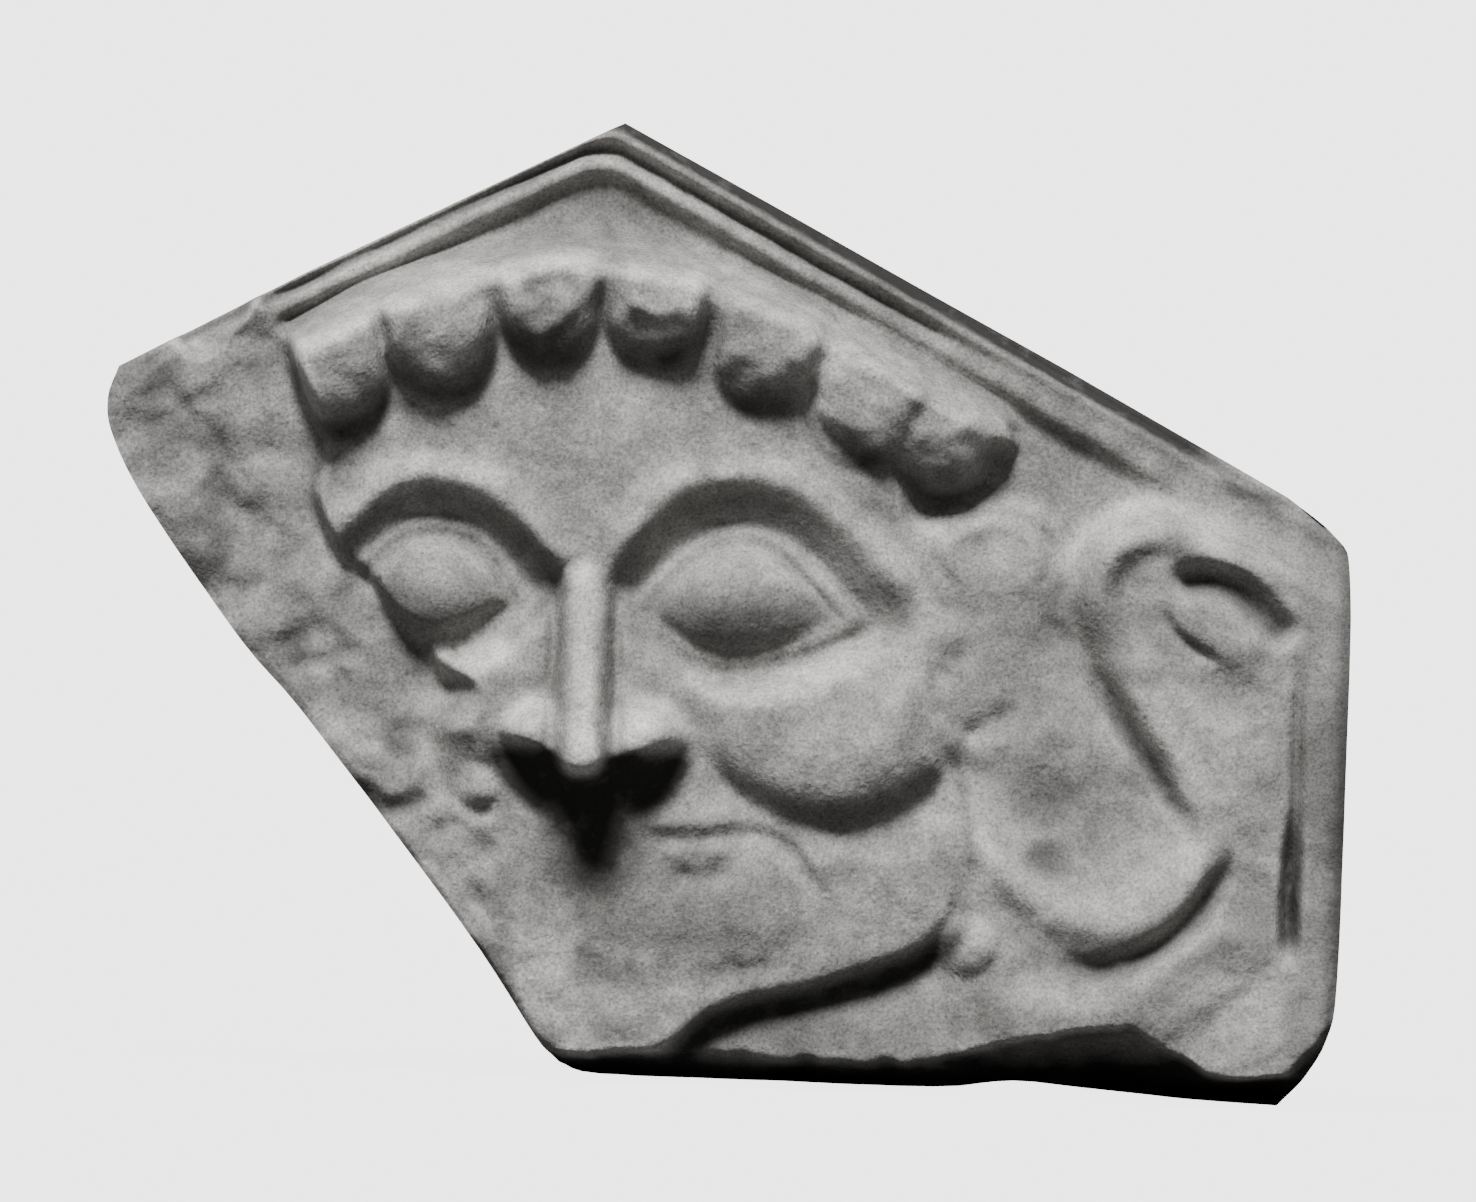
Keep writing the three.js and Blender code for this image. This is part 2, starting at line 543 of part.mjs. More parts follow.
// One solid along both rakes, mitred on the centre line
function mouldings(wasm) {
  const slope = Math.tan(THREE.MathUtils.degToRad(PITCH));
  const across = Math.cos(THREE.MathUtils.degToRad(PITCH));
  const stations = MOULD_STATIONS.map(
    (share) => MOULD_AXIS + share * (share < 0 ? MOULD_AXIS - BREAK_TOP[0] : RIGHT_X - MOULD_AXIS),
  );
  const vertices = [];
  for (const x of stations) {
    const inner = APEX_Z - MOULD_INNER - slope * Math.abs(x - MOULD_AXIS);
    mouldingProfile(x).forEach(([out, rise]) => vertices.push(x, -GROUND - rise, inner + out / across));
  }
  const ring = mouldingProfile(0).length;
  const triangles = [];
  for (let i = 1; i < stations.length; i += 1) {
    for (let k = 0; k < ring; k += 1) {
      const [a, b] = [(i - 1) * ring + k, (i - 1) * ring + ((k + 1) % ring)];
      triangles.push(a, a + ring, b, b, a + ring, b + ring);
    }
  }
  const section = mouldingProfile(0).map(([out, rise]) => new THREE.Vector2(out, rise));
  for (const [a, b, c] of THREE.ShapeUtils.triangulateShape(section, [])) {
    const last = (stations.length - 1) * ring;
    triangles.push(a, c, b, last + a, last + b, last + c);
  }
  return toSolid(wasm, vertices, triangles);
}

// The outline drawn back from in front of the relief to the flat back
function outlinePrism(wasm) {
  const options = { depth: FRONT_CLEAR, bevelEnabled: false, curveSegments: 8 };
  const position = new THREE.ExtrudeGeometry(outline(), options).getAttribute('position');
  const vertices = [];
  const triangles = [];
  const numbers = new Map();
  for (let i = 0; i < position.count; i += 1) {
    const corner = [position.getX(i), -position.getZ(i), position.getY(i)];
    const key = corner.map((value) => value.toFixed(4)).join();
    if (!numbers.has(key)) {
      numbers.set(key, vertices.length / 3);
      vertices.push(...corner);
    }
    triangles.push(numbers.get(key));
  }
  return toSolid(wasm, vertices, triangles);
}

function toGeometry(solid) {
  const mesh = solid.getMesh();
  const geometry = new THREE.BufferGeometry();
  geometry.setAttribute('position', new THREE.BufferAttribute(mesh.vertProperties, 3));
  geometry.setIndex(new THREE.BufferAttribute(mesh.triVerts, 1));
  geometry.computeVertexNormals();
  return geometry;
}

const wasm = await Module();
wasm.setup();

const carved = carvedBlock(wasm, height).add(mouldings(wasm)).intersect(outlinePrism(wasm));
const plaque = new THREE.Mesh(toGeometry(carved), FIRED_CLAY);
plaque.name = 'gorgon_antefix';

const antefix = new THREE.Group();
antefix.add(plaque);

export default antefix;
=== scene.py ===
"""Gorgon antefix: a gabled plaque of fired clay with a gorgon's mask in relief, broken away on its left.

The relief is worked out in millimetres, x to the right and z up, as a height over the plaque's flat back.
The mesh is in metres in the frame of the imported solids, with the back on the plane y = 0 and the relief
rising towards -y.
"""

import logging
import math
from dataclasses import dataclass, field
from enum import Enum

import bmesh
import bpy
import numpy as np
from mathutils import Matrix, Vector


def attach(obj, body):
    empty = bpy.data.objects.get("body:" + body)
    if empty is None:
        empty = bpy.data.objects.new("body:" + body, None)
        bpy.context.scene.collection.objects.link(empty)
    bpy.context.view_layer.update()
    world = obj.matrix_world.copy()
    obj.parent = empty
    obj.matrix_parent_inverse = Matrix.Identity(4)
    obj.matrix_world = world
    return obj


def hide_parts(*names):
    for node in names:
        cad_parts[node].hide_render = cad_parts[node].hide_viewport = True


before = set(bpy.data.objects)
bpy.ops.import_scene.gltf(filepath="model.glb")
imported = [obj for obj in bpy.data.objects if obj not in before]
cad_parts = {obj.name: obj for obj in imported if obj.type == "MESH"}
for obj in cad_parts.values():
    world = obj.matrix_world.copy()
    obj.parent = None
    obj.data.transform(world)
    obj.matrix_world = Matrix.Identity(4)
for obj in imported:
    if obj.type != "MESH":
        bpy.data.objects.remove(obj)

LOG = logging.getLogger("gorgon_antefix")

MM = 0.001
NODE = "gorgon_antefix"

Points = list[tuple[float, float]]
Trace = tuple[tuple[float, float], ...]
Array = np.ndarray


def ramp(low: float, high: float, value: Array) -> Array:
    """Smooth step from 0 at low to 1 at high."""
    share = np.clip((value - low) / (high - low), 0.0, 1.0)
    return share * share * (3.0 - 2.0 * share)


def mix(first: Array, second: Array, share: Array) -> Array:
    """The first value where the share is 0 and the second where it is 1."""
    return first + (second - first) * share


def soft_max(first: Array, second: Array, width: float) -> Array:
    """The greater of two heights, with a fillet of about this width where they meet."""
    share = np.clip(0.5 + 0.5 * (first - second) / width, 0.0, 1.0)
    return mix(second, first, share) + width * share * (1.0 - share)


def soft_min(first: Array, second: Array, width: float) -> Array:
    """The lesser of two heights, rounded where they meet."""
    return -soft_max(-first, -second, width)


def bell(value: Array) -> Array:
    """A round bump that is 1 at 0 and ends at 1 and -1."""
    return np.square(1.0 - np.minimum(np.square(value), 1.0))


def noise(x: Array, z: Array, size: float, seed: int) -> Array:
    """Smooth noise between -1 and 1 from a hash of the corners of square cells.

    Args:
        x: Places across.
        z: Places up.
        size: Side of a cell, in the same unit.
        seed: Which pattern.

    Returns:
        The noise at each place.
    """
    i, j = np.floor(x / size), np.floor(z / size)
    f, g = ramp(0.0, 1.0, x / size - i), ramp(0.0, 1.0, z / size - j)

    def corner(a: Array, b: Array) -> Array:
        """The hash of a corner, between -1 and 1."""
        n = np.sin(a * 127.1 + b * 311.7 + seed * 74.7) * 43758.5453
        return 2.0 * (n - np.floor(n)) - 1.0

    return mix(mix(corner(i, j), corner(i + 1, j), f), mix(corner(i, j + 1), corner(i + 1, j + 1), f), g)


def rough(x: Array, z: Array, size: float, seed: int, octaves: int = 3) -> Array:
    """Sum of noises, each half the size and height of the one before."""
    total = np.zeros(np.shape(x))
    for k in range(octaves):
        total = total + noise(x + 17.0 * k, z - 9.0 * k, size / 2**k, seed + k) / 2**k
    return total


class Line:
    """A smooth curve through a few points.

    It says how far from it a place is, how far along it and on which side of it.
    """

    def __init__(self, points: Points, closed: bool = False, steps: int = 6) -> None:
        """Draws the curve.

        Args:
            points: The points in millimetres.
            closed: Whether the curve comes back to its first point.
            steps: Straight pieces between two points.
        """
        p = np.array(points, float)
        n = len(p)
        pieces = []
        for i in range(n if closed else n - 1):
            b, c = p[i], p[(i + 1) % n]
            a = p[i - 1] if i or closed else 2 * b - c
            d = p[(i + 2) % n] if i + 2 < n or closed else 2 * c - b
            t = np.arange(steps)[:, None] / steps
            square, cube = (2 * a - 5 * b + 4 * c - d) * t**2, (3 * b - a - 3 * c + d) * t**3
            pieces.append(0.5 * (2 * b + (c - a) * t + square + cube))
        self.knots = np.vstack(pieces + [p[:1] if closed else p[-1:]])
        spans = np.hypot(*np.diff(self.knots, axis=0).T)
        self.run = np.concatenate([[0.0], np.cumsum(spans)])

    def near(self, x: Array, z: Array, reach: float) -> tuple[Array, Array, Array]:
        """Finds the nearest place on the curve.

        Args:
            x: Places across.
            z: Places up.
            reach: How far from the curve's box to look.

        Returns:
            Distance, share of the way along, and the side: 1 to the left of the direction of travel or -1 to
            its right.
        """
        distance, along, side = np.full(x.shape, 1e3), np.zeros(x.shape), np.ones(x.shape)
        low, high = self.knots.min(axis=0) - reach, self.knots.max(axis=0) + reach
        mask = (x > low[0]) & (x < high[0]) & (z > low[1]) & (z < high[1])
        px, pz = x[mask], z[mask]
        best, way, hand = np.full(px.shape, 1e6), np.zeros(px.shape), np.ones(px.shape)
        for i, (start, end) in enumerate(zip(self.knots[:-1], self.knots[1:])):
            vx, vz = end - start
            share = np.clip(((px - start[0]) * vx + (pz - start[1]) * vz) / (vx * vx + vz * vz), 0.0, 1.0)
            dx, dz = px - start[0] - share * vx, pz - start[1] - share * vz
            square = dx * dx + dz * dz
            closer = square < best
            best[closer] = square[closer]
            way[closer] = mix(self.run[i], self.run[i + 1], share[closer]) / self.run[-1]
            hand[closer] = np.where(vx * dz[closer] - vz * dx[closer] >= 0, 1.0, -1.0)
        distance[mask], along[mask], side[mask] = np.sqrt(best), way, hand
        return distance, along, side

    def inside(self, x: Array, z: Array, reach: float) -> Array:
        """Distance from a closed curve, positive inside it."""
        distance = self.near(x, z, reach)[0]
        odd = np.zeros(x.shape, bool)
        for (ax, az), (bx, bz) in zip(self.knots[:-1], self.knots[1:]):
            if az != bz:
                odd ^= ((az > z) != (bz > z)) & (x < (bx - ax) * (z - az) / (bz - az) + ax)
        return np.where(odd, distance, -distance)

    def bead(self, x: Array, z: Array, half: float, start: float = 0.0, end: float = 0.0) -> Array:
        """A round bead of this half width, from 0 to 1, that fades in and out over shares of its length."""
        distance, along, _ = self.near(x, z, half)
        ends = (ramp(0.0, start, along) if start else 1.0) * (ramp(0.0, end, 1.0 - along) if end else 1.0)
        return bell(distance / half) * ends


@dataclass(frozen=True)
class Mound:
    """An oval swelling, or a hollow if its rise is taken away."""

    centre: tuple[float, float]
    half: tuple[float, float]
    rise: float
    turn: float = 0.0
    power: float = 0.75

    def height(self, x: Array, z: Array) -> Array:
        """Height of the mound over what it stands on."""
        c, s = math.cos(math.radians(self.turn)), math.sin(math.radians(self.turn))
        u = ((x - self.centre[0]) * c + (z - self.centre[1]) * s) / self.half[0]
        v = (-(x - self.centre[0]) * s + (z - self.centre[1]) * c) / self.half[1]
        return self.rise * np.clip(1.0 - u * u - v * v, 0.0, 1.0) ** self.power


@dataclass(frozen=True)
class Mark:
    """A bead or, with a negative rise, a groove along a short line."""

    points: Trace
    half: float
    rise: float
    fade: float = 0.15

    def height(self, x: Array, z: Array) -> Array:
        """Height of the mark over what it stands on."""
        return self.rise * Line(list(self.points)).bead(x, z, self.half, self.fade, self.fade)


def marked(level: Array, x: Array, z: Array, forms: tuple[Mark | Mound, ...]) -> Array:
    """Adds marks and mounds to a level."""
    for form in forms:
        level = level + form.height(x, z)
    return level


@dataclass(frozen=True)
class Ground:
    """The bare ground of the plaque."""

    level: float = 25.0
    chin_level: float = 3.5
    wave: float = 0.45

    def height(self, x: Array, z: Array) -> Array:
        """Thickness of the plaque where nothing is modelled on it."""
        under_chin = ramp(-66.0, -84.0, z) * ramp(90.0, 60.0, x)
        return self.level + self.wave * rough(x, z, 38.0, 3) + self.chin_level * under_chin


@dataclass(frozen=True)
class Mouldings:
    """Two fillets with a groove between them along both rakes, and a rim that is set back outside them."""

    axis: float = -4.0
    top: float = 86.3
    pitch: float = 27.4
    apex_round: float = 5.0
    rise: float = 4.6
    groove_at: float = 4.8
    groove_half: float = 2.0
    groove_depth: float = 3.0
    rim_at: float = 8.3
    rim_drop: float = 4.4
    left_rim_drop: float = 1.6

    def offset(self, x: Array, z: Array) -> Array:
        """Distance outwards from the mouldings' inner edge."""
        angle = math.radians(self.pitch)
        right = (z - self.top + math.tan(angle) * (x - self.axis)) * math.cos(angle)
        left = (z - self.top - math.tan(angle) * (x - self.axis)) * math.cos(angle)
        return soft_max(right, left, self.apex_round)

    def raise_on(self, level: Array, x: Array, z: Array) -> Array:
        """Adds the mouldings to a level."""
        out = self.offset(x, z) + 0.25 * noise(x, z, 9.0, 41)
        right = x > self.axis
        worn = np.where(right, 0.1 + 0.9 * ramp(130.0, 92.0, x), ramp(-92.0, -80.0, x))
        cut = self.groove_depth * np.where(right, ramp(82.0, 50.0, x), 1.0)
        rise = self.rise * ramp(-1.8, 1.6, out) * worn
        rise = rise - cut * bell((out - self.groove_at) / self.groove_half)
        rise = rise + 0.9 * ramp(5.6, 6.9, out) * np.where(right, 1.0, ramp(-40.0, -12.0, x))
        drop = np.where(right, self.rim_drop, self.left_rim_drop)
        return level + rise - drop * ramp(self.rim_at, self.rim_at + 1.5, out)

    def shade_and_stain(self, x: Array, z: Array) -> Array:
        """Painted shade in the groove, under the mouldings' inner edge and under the apex, a dark mark in
        the chip, and a dark band along the rim.
        """
        out = self.offset(x, z)
        right = x > self.axis
        rim = ramp(self.rim_at - 0.9, self.rim_at + 0.2, out) * np.where(right, ramp(134.0, 112.0, x), 0.6)
        groove = 0.72 * bell((out - self.groove_at) / 1.7) * np.where(right, ramp(90.0, 50.0, x), 1.0)
        # Painted shadow under the mouldings' inner edge.
        under = 0.42 * bell((out + 0.8) / 2.6) * ramp(128.0, 100.0, x)
        # Painted shadow under the apex.
        apex = Mark(((-16, 77.5), (-2, 80.5), (22, 75.5)), 8.0, 0.62, 0.3).height(x, z)
        under = np.maximum(under, apex * (1.0 + 0.35 * rough(x, z, 8.0, 40)) * ramp(0.8, -0.8, out))
        chip = Mark(((122.5, 28.4), (128, 26.6), (134.5, 24.8)), 2.2, 0.95, 0.1).height(x, z)
        return np.maximum.reduce([rim, groove, under, chip])


@dataclass(frozen=True)
class Lock:
    """One rolled lock.

    Attributes:
        root: Where it leaves the crown.
        tip: Where its rolled end stops.
        half: Half its width.
        foot: Height of its lower edge over the ground.
        lift: Height from there to its crest.
        square: How square its plan is near the root.
        shade_and_dirt: How much painted shade its rolled end takes, from 0 to 1.
    """

    root: tuple[float, float]
    tip: tuple[float, float]
    half: float
    foot: float
    lift: float
    square: float = 7.0
    shade_and_dirt: float = 0.9

    def power(self, down: Array) -> Array:
        """Power of the lock's plan, which gets rounder from its crest down to its tip."""
        return np.maximum(self.square - 4.2 * ramp(0.2, 0.85, down), 2.3)


@dataclass(frozen=True)
class Hair:
    """The row of locks over the forehead, swelling out of one crown along its top."""

    crown: Line = field(
        default_factory=lambda: Line(
            [(-74, 41), (-62, 50.5), (-46, 59.3), (-28, 65.8), (-4, 69.2), (20, 65.2), (42, 56.6),
             (62, 46.3), (80, 37), (92, 29)]
        )
    )
    crest: float = 4.5
    above: float = 10.5
    middle: float = -2.3
    locks: tuple[Lock, ...] = (
        Lock((-61, 57), (-50.5, 29.5), 12.2, 9.0, 17.0),
        Lock((-38, 65), (-31.0, 37.5), 12.0, 11.0, 16.0),
        Lock((-14, 70), (-12.2, 44.6), 11.0, 12.0, 14.5),
        Lock((8, 70), (7.4, 45.0), 11.0, 12.0, 14.5),
        Lock((32, 63), (28.0, 36.8), 11.6, 10.0, 14.0),
        Lock((55, 53), (46.0, 27.5), 12.0, 8.0, 13.0),
        Lock((61.0, 47), (69.0, 24.0), 13.0, 4.0, 15.0, 4.0, 0.75),
    )
    curls: tuple[Mark | Mound, ...] = (
        Mark(((-17.5, 52.0), (-14, 53.2), (-10.5, 55.6), (-8.2, 59)), 2.6, 1.3),
        Mark(((-17.5, 58.5), (-15, 62.5), (-11, 63.8), (-7.5, 61.5)), 2.8, -1.1),
        Mark(((2, 61.2), (5, 58.8), (8, 57.6), (11, 58.4), (13.5, 60.8)), 2.3, 1.0),
        Mark(((3, 56.5), (8, 54.6), (13, 56.8)), 2.6, -0.8),
        Mark(((2.5, 65), (7, 63.2), (12, 64.4)), 2.6, -0.6),
        Mark(((-38, 53), (-36, 59.5), (-31, 61.5), (-26, 57)), 2.8, -0.6),
        Mark(((-36, 50), (-31, 53), (-27, 49)), 2.4, 0.5),
        Mound((25.5, 46.0), (4.6, 3.8), -0.9, 0.0, 1.4),
        Mound((33.0, 43.0), (4.8, 3.8), -0.9, 0.0, 1.4),
        Mark(((22, 56), (28, 58.5), (34, 53)), 2.8, -0.6),
        Mark(((-58.5, 31.0), (-53, 32.0), (-47, 35.6), (-41.5, 38.6)), 2.7, -3.0, 0.12),
        Mark(((-60, 46), (-56, 51.5), (-50, 51), (-46.5, 46)), 2.8, -0.6),
        Mark(((36.5, 38.0), (42, 35.4), (47, 31.6), (51.5, 28.8)), 3.2, -1.8, 0.15),
        Mark(((41, 49), (46, 51), (51, 46), (52, 41)), 2.8, -0.6),
        Mark(((60, 37), (65, 42), (71, 40)), 3.0, -0.7),
    )

    def spread(self, lock: Lock, x: Array, z: Array) -> tuple[Array, Array]:
        """Places in a lock's own terms: share of the way from crest to tip, and share of its half width."""
        ax, az = lock.tip[0] - lock.root[0], lock.tip[1] - lock.root[1]
        length = math.hypot(ax, az)
        ax, az = ax / length, az / length
        down = (x - lock.root[0]) * ax + (z - lock.root[1]) * az
        across = (-(x - lock.root[0]) * az + (z - lock.root[1]) * ax) / lock.half
        return np.maximum(down - self.crest, 0.0) / (length - self.crest), across

    def height(self, x: Array, z: Array, ground: float) -> Array:
        """Height of the hair over the back."""
        distance, along, side = self.crown.near(x, z, 42.0)
        up = distance * side
        parted = ramp(8.5, -7.0, up)
        upper = ramp(1.05, 0.0, (up + self.crest) / self.above)
        best = np.zeros(x.shape)
        for lock in self.locks:
            down, across = self.spread(lock, x, z)
            inner = np.clip(across * math.copysign(1.0, lock.root[0] - self.middle), -1.0, 1.0)
            roll = 1.0 - down**2.2
            plan = np.clip(roll - np.abs(across) ** lock.power(down) * parted, 0.0, 1.0)
            body = np.sqrt(plan)
            height = lock.foot * ramp(0.0, 0.14, plan) + (lock.lift + 0.8 * inner * parted) * body
            web = 0.9 - 0.36 * down * ramp(66.0, 30.0, lock.root[0])
            hollow = web * (lock.foot + lock.lift) * np.sqrt(np.clip(roll - 0.75 * down**1.5, 0.0, 1.0))
            beside = ramp(1.5, 1.12, np.abs(across))
            best = np.maximum(best, hollow * ramp(1.22, 1.05, np.abs(across)))
            best = soft_max(best, height * beside, 0.9)
        tousled = 0.6 * rough(x, z, 4.5, 63, 3) * ramp(9.0, 2.0, up)
        best = np.where(best > 9.0, marked(best, x, z, self.curls) + tousled, best)
        return ground + best * upper * ramp(0.0, 0.05, along) * ramp(1.0, 0.95, along)

    def shade_and_stain(self, x: Array, z: Array) -> Array:
        """Painted shade under the rolled ends of the locks, in their partings and in the deeper curls."""
        total = np.zeros(x.shape)
        for lock in self.locks:
            down, across = self.spread(lock, x, z)
            within = ramp(-0.02, 0.12, 1.0 - down**2.2 - np.abs(across) ** lock.power(down))
            end = ramp(0.4, 0.95, down + 0.14 * rough(x, z, 6.0, 64)) * within
            parting = 0.3 * ramp(62.0, 40.0, lock.root[0]) * bell((np.abs(across) - 1.0) / 0.12)
            parting = parting * ramp(-0.05, 0.2, down) * ramp(0.8, 0.6, down)
            total = np.maximum.reduce([total, lock.shade_and_dirt * end, parting])
        for form in self.curls:
            if form.rise < -1.0:
                total = np.maximum(total, -0.25 * form.height(x, z))
        return total


@dataclass(frozen=True)
class Eye:
    """A deep socket with a lidded, staring eye in it."""

    socket: Line
    lids: Line
    ball: Mound
    floor: float
    wall: float = 7.4
    lid_rise: float = 2.6
    lid_width: float = 3.0

    def carve(self, level: Array, x: Array, z: Array) -> Array:
        """Cuts the socket into a level and sets the lids and the ball in it."""
        wall = np.clip(self.socket.inside(x, z, 14.0) / self.wall, 0.0, 1.0)
        hollow = mix(level, self.floor, 0.8 * wall + 0.2 * ramp(0.0, 1.0, wall))
        lid = self.lids.inside(x, z, 22.0)
        rim = self.floor + self.lid_rise * ramp(-2.6, 0.9, lid) - 0.45 * bell((lid - 1.3) / 0.9)
        ball = self.floor + np.maximum(0.6 + self.ball.height(x, z), self.lid_rise - 0.7)
        shape = mix(rim, ball, ramp(self.lid_width - 0.9, self.lid_width + 1.6, lid))
        shape = shape - (0.5 + 1.1 * ramp(-5.0, 6.0, z)) * bell((lid - self.lid_width) / 1.4)
        return mix(hollow, np.maximum(hollow, shape), ramp(-2.6, -1.0, lid))

    def shade_and_stain(self, x: Array, z: Array) -> Array:
        """Painted shade under the brow, on the lower half of the ball and along the lids."""
        inside = self.socket.inside(x, z, 14.0)
        lid = self.lids.inside(x, z, 22.0)
        uneven = 0.42 + 0.14 * rough(x, z, 5.0, 36)
        brow = uneven * ramp(-1.0, 1.2, inside) * ramp(7.5, 4.5, inside)
        brow = brow * ramp(-1.0, -3.0, lid) * ramp(-3.0, 1.0, z)
        half = z + 0.9 * rough(x, z, 7.0, 35) - self.ball.centre[1]
        lower = 0.52 * ramp(5.0, -5.5, half) * ramp(1.8, 5.0, lid)
        line = 0.48 * bell((lid - self.lid_width + 0.2) / 1.2) + 0.42 * bell((lid + 0.9) / 1.2)
        return np.maximum.reduce([brow, lower, line])


@dataclass(frozen=True)
class Nose:
    """A narrow ridge on a broad base that swells into two wings and is cut off steeply underneath."""

    base: Line = field(
        default_factory=lambda: Line(
            [(-23.2, -26), (-22, -32), (-18.5, -38), (-12, -43), (-4, -45.3), (4, -45.3), (11, -43),
             (16.5, -38), (19.6, -31), (19.8, -25.5), (15.5, -20), (9, -17), (4, -10), (-3.8, 2),
             (-10, -10), (-14, -17), (-19.5, -20.5)],
            closed=True,
        )
    )
    bridge: Line = field(
        default_factory=lambda: Line([(-4.0, 10), (-3.8, 0), (-3.6, -12), (-3.4, -24), (-3.3, -31.4)])
    )
    wings: tuple[Mound, ...] = (
        Mound((-15.4, -27.0), (8.4, 8.0), 5.0, 10.0, 0.7),
        Mound((10.6, -27.0), (9.0, 8.0), 5.0, -10.0, 0.7),
    )
    lip_level: float = 35.0
    steep: float = 2.3
    under_slope: float = 0.85
    top_level: float = 39.0
    top_z: float = -9.0
    top_rise: float = 0.35
    root_level: float = 39.0
    tip_level: float = 57.0
    root_half: float = 4.2
    tip_half: float = 5.0

    def raise_on(self, level: Array, x: Array, z: Array) -> Array:
        """Sets the nose on the face."""
        depth = self.base.inside(x, z, 24.0)
        top = self.top_level - self.lip_level + self.top_rise * np.clip(self.top_z - z, 0.0, 21.0)
        top = marked(top, x, z, self.wings)
        steep = mix(self.under_slope, self.steep, ramp(-34.0, -24.0, z))
        block = self.lip_level + soft_min(steep * np.maximum(depth, 0.0), top, 4.5)
        level = np.where((depth > 0.0) & (z < 0.0), soft_max(level, block, 1.6), level)
        distance, along, _ = self.bridge.near(x, z, 16.0)
        half = mix(self.root_half, self.tip_half, ramp(0.0, 0.9, along))
        ridge = mix(self.root_level, self.tip_level, along)
        side = distance - half
        level = level - 2.6 * bell((side - 1.5) / 1.9) * ramp(-31.0, -28.0, z) * ramp(0.0, 0.3, along)
        raised = 1.0 - ramp(-3.0, 2.0, side)
        return np.maximum(level, mix(level, ridge, raised))

    def shade_and_stain(self, x: Array, z: Array) -> Array:
        """Painted shade on the underside of the nose, round its root and beside its ridge, and its painted
        cast shadow below it.
        """
        aside = np.abs(x + 2.0)
        edge = -29.6 + np.where(aside < 10.0, 0.012 * aside**2, 0.0) + 0.02 * aside
        distance, along, _ = self.bridge.near(x, z, 16.0)
        under = ramp(-1.2, 1.4, self.base.inside(x, z, 24.0)) * ramp(edge + 0.6, edge - 2.4, z)
        under = under * np.maximum(ramp(3.9, 5.4, distance), ramp(-34.4, -36.2, z))
        beside = 0.42 * bell((distance - 6.4) / 1.7) * ramp(0.2, 0.6, along) * ramp(-34.0, -30.0, z)
        root = 0.55 * bell((distance - 8.5) / 5.0) * ramp(0.42, 0.12, along) * ramp(14.0, 8.0, z)
        # Painted shadow cast by the nose below it.
        shade = Mound((-0.5, -48.0), (13.5, 14.5), 1.1, 0.0, 1.2).height(x, z)
        shade = np.minimum(shade * (1.0 + 0.25 * rough(x, z, 5.0, 42)), 0.95)
        return np.maximum.reduce([under, beside, root, shade])


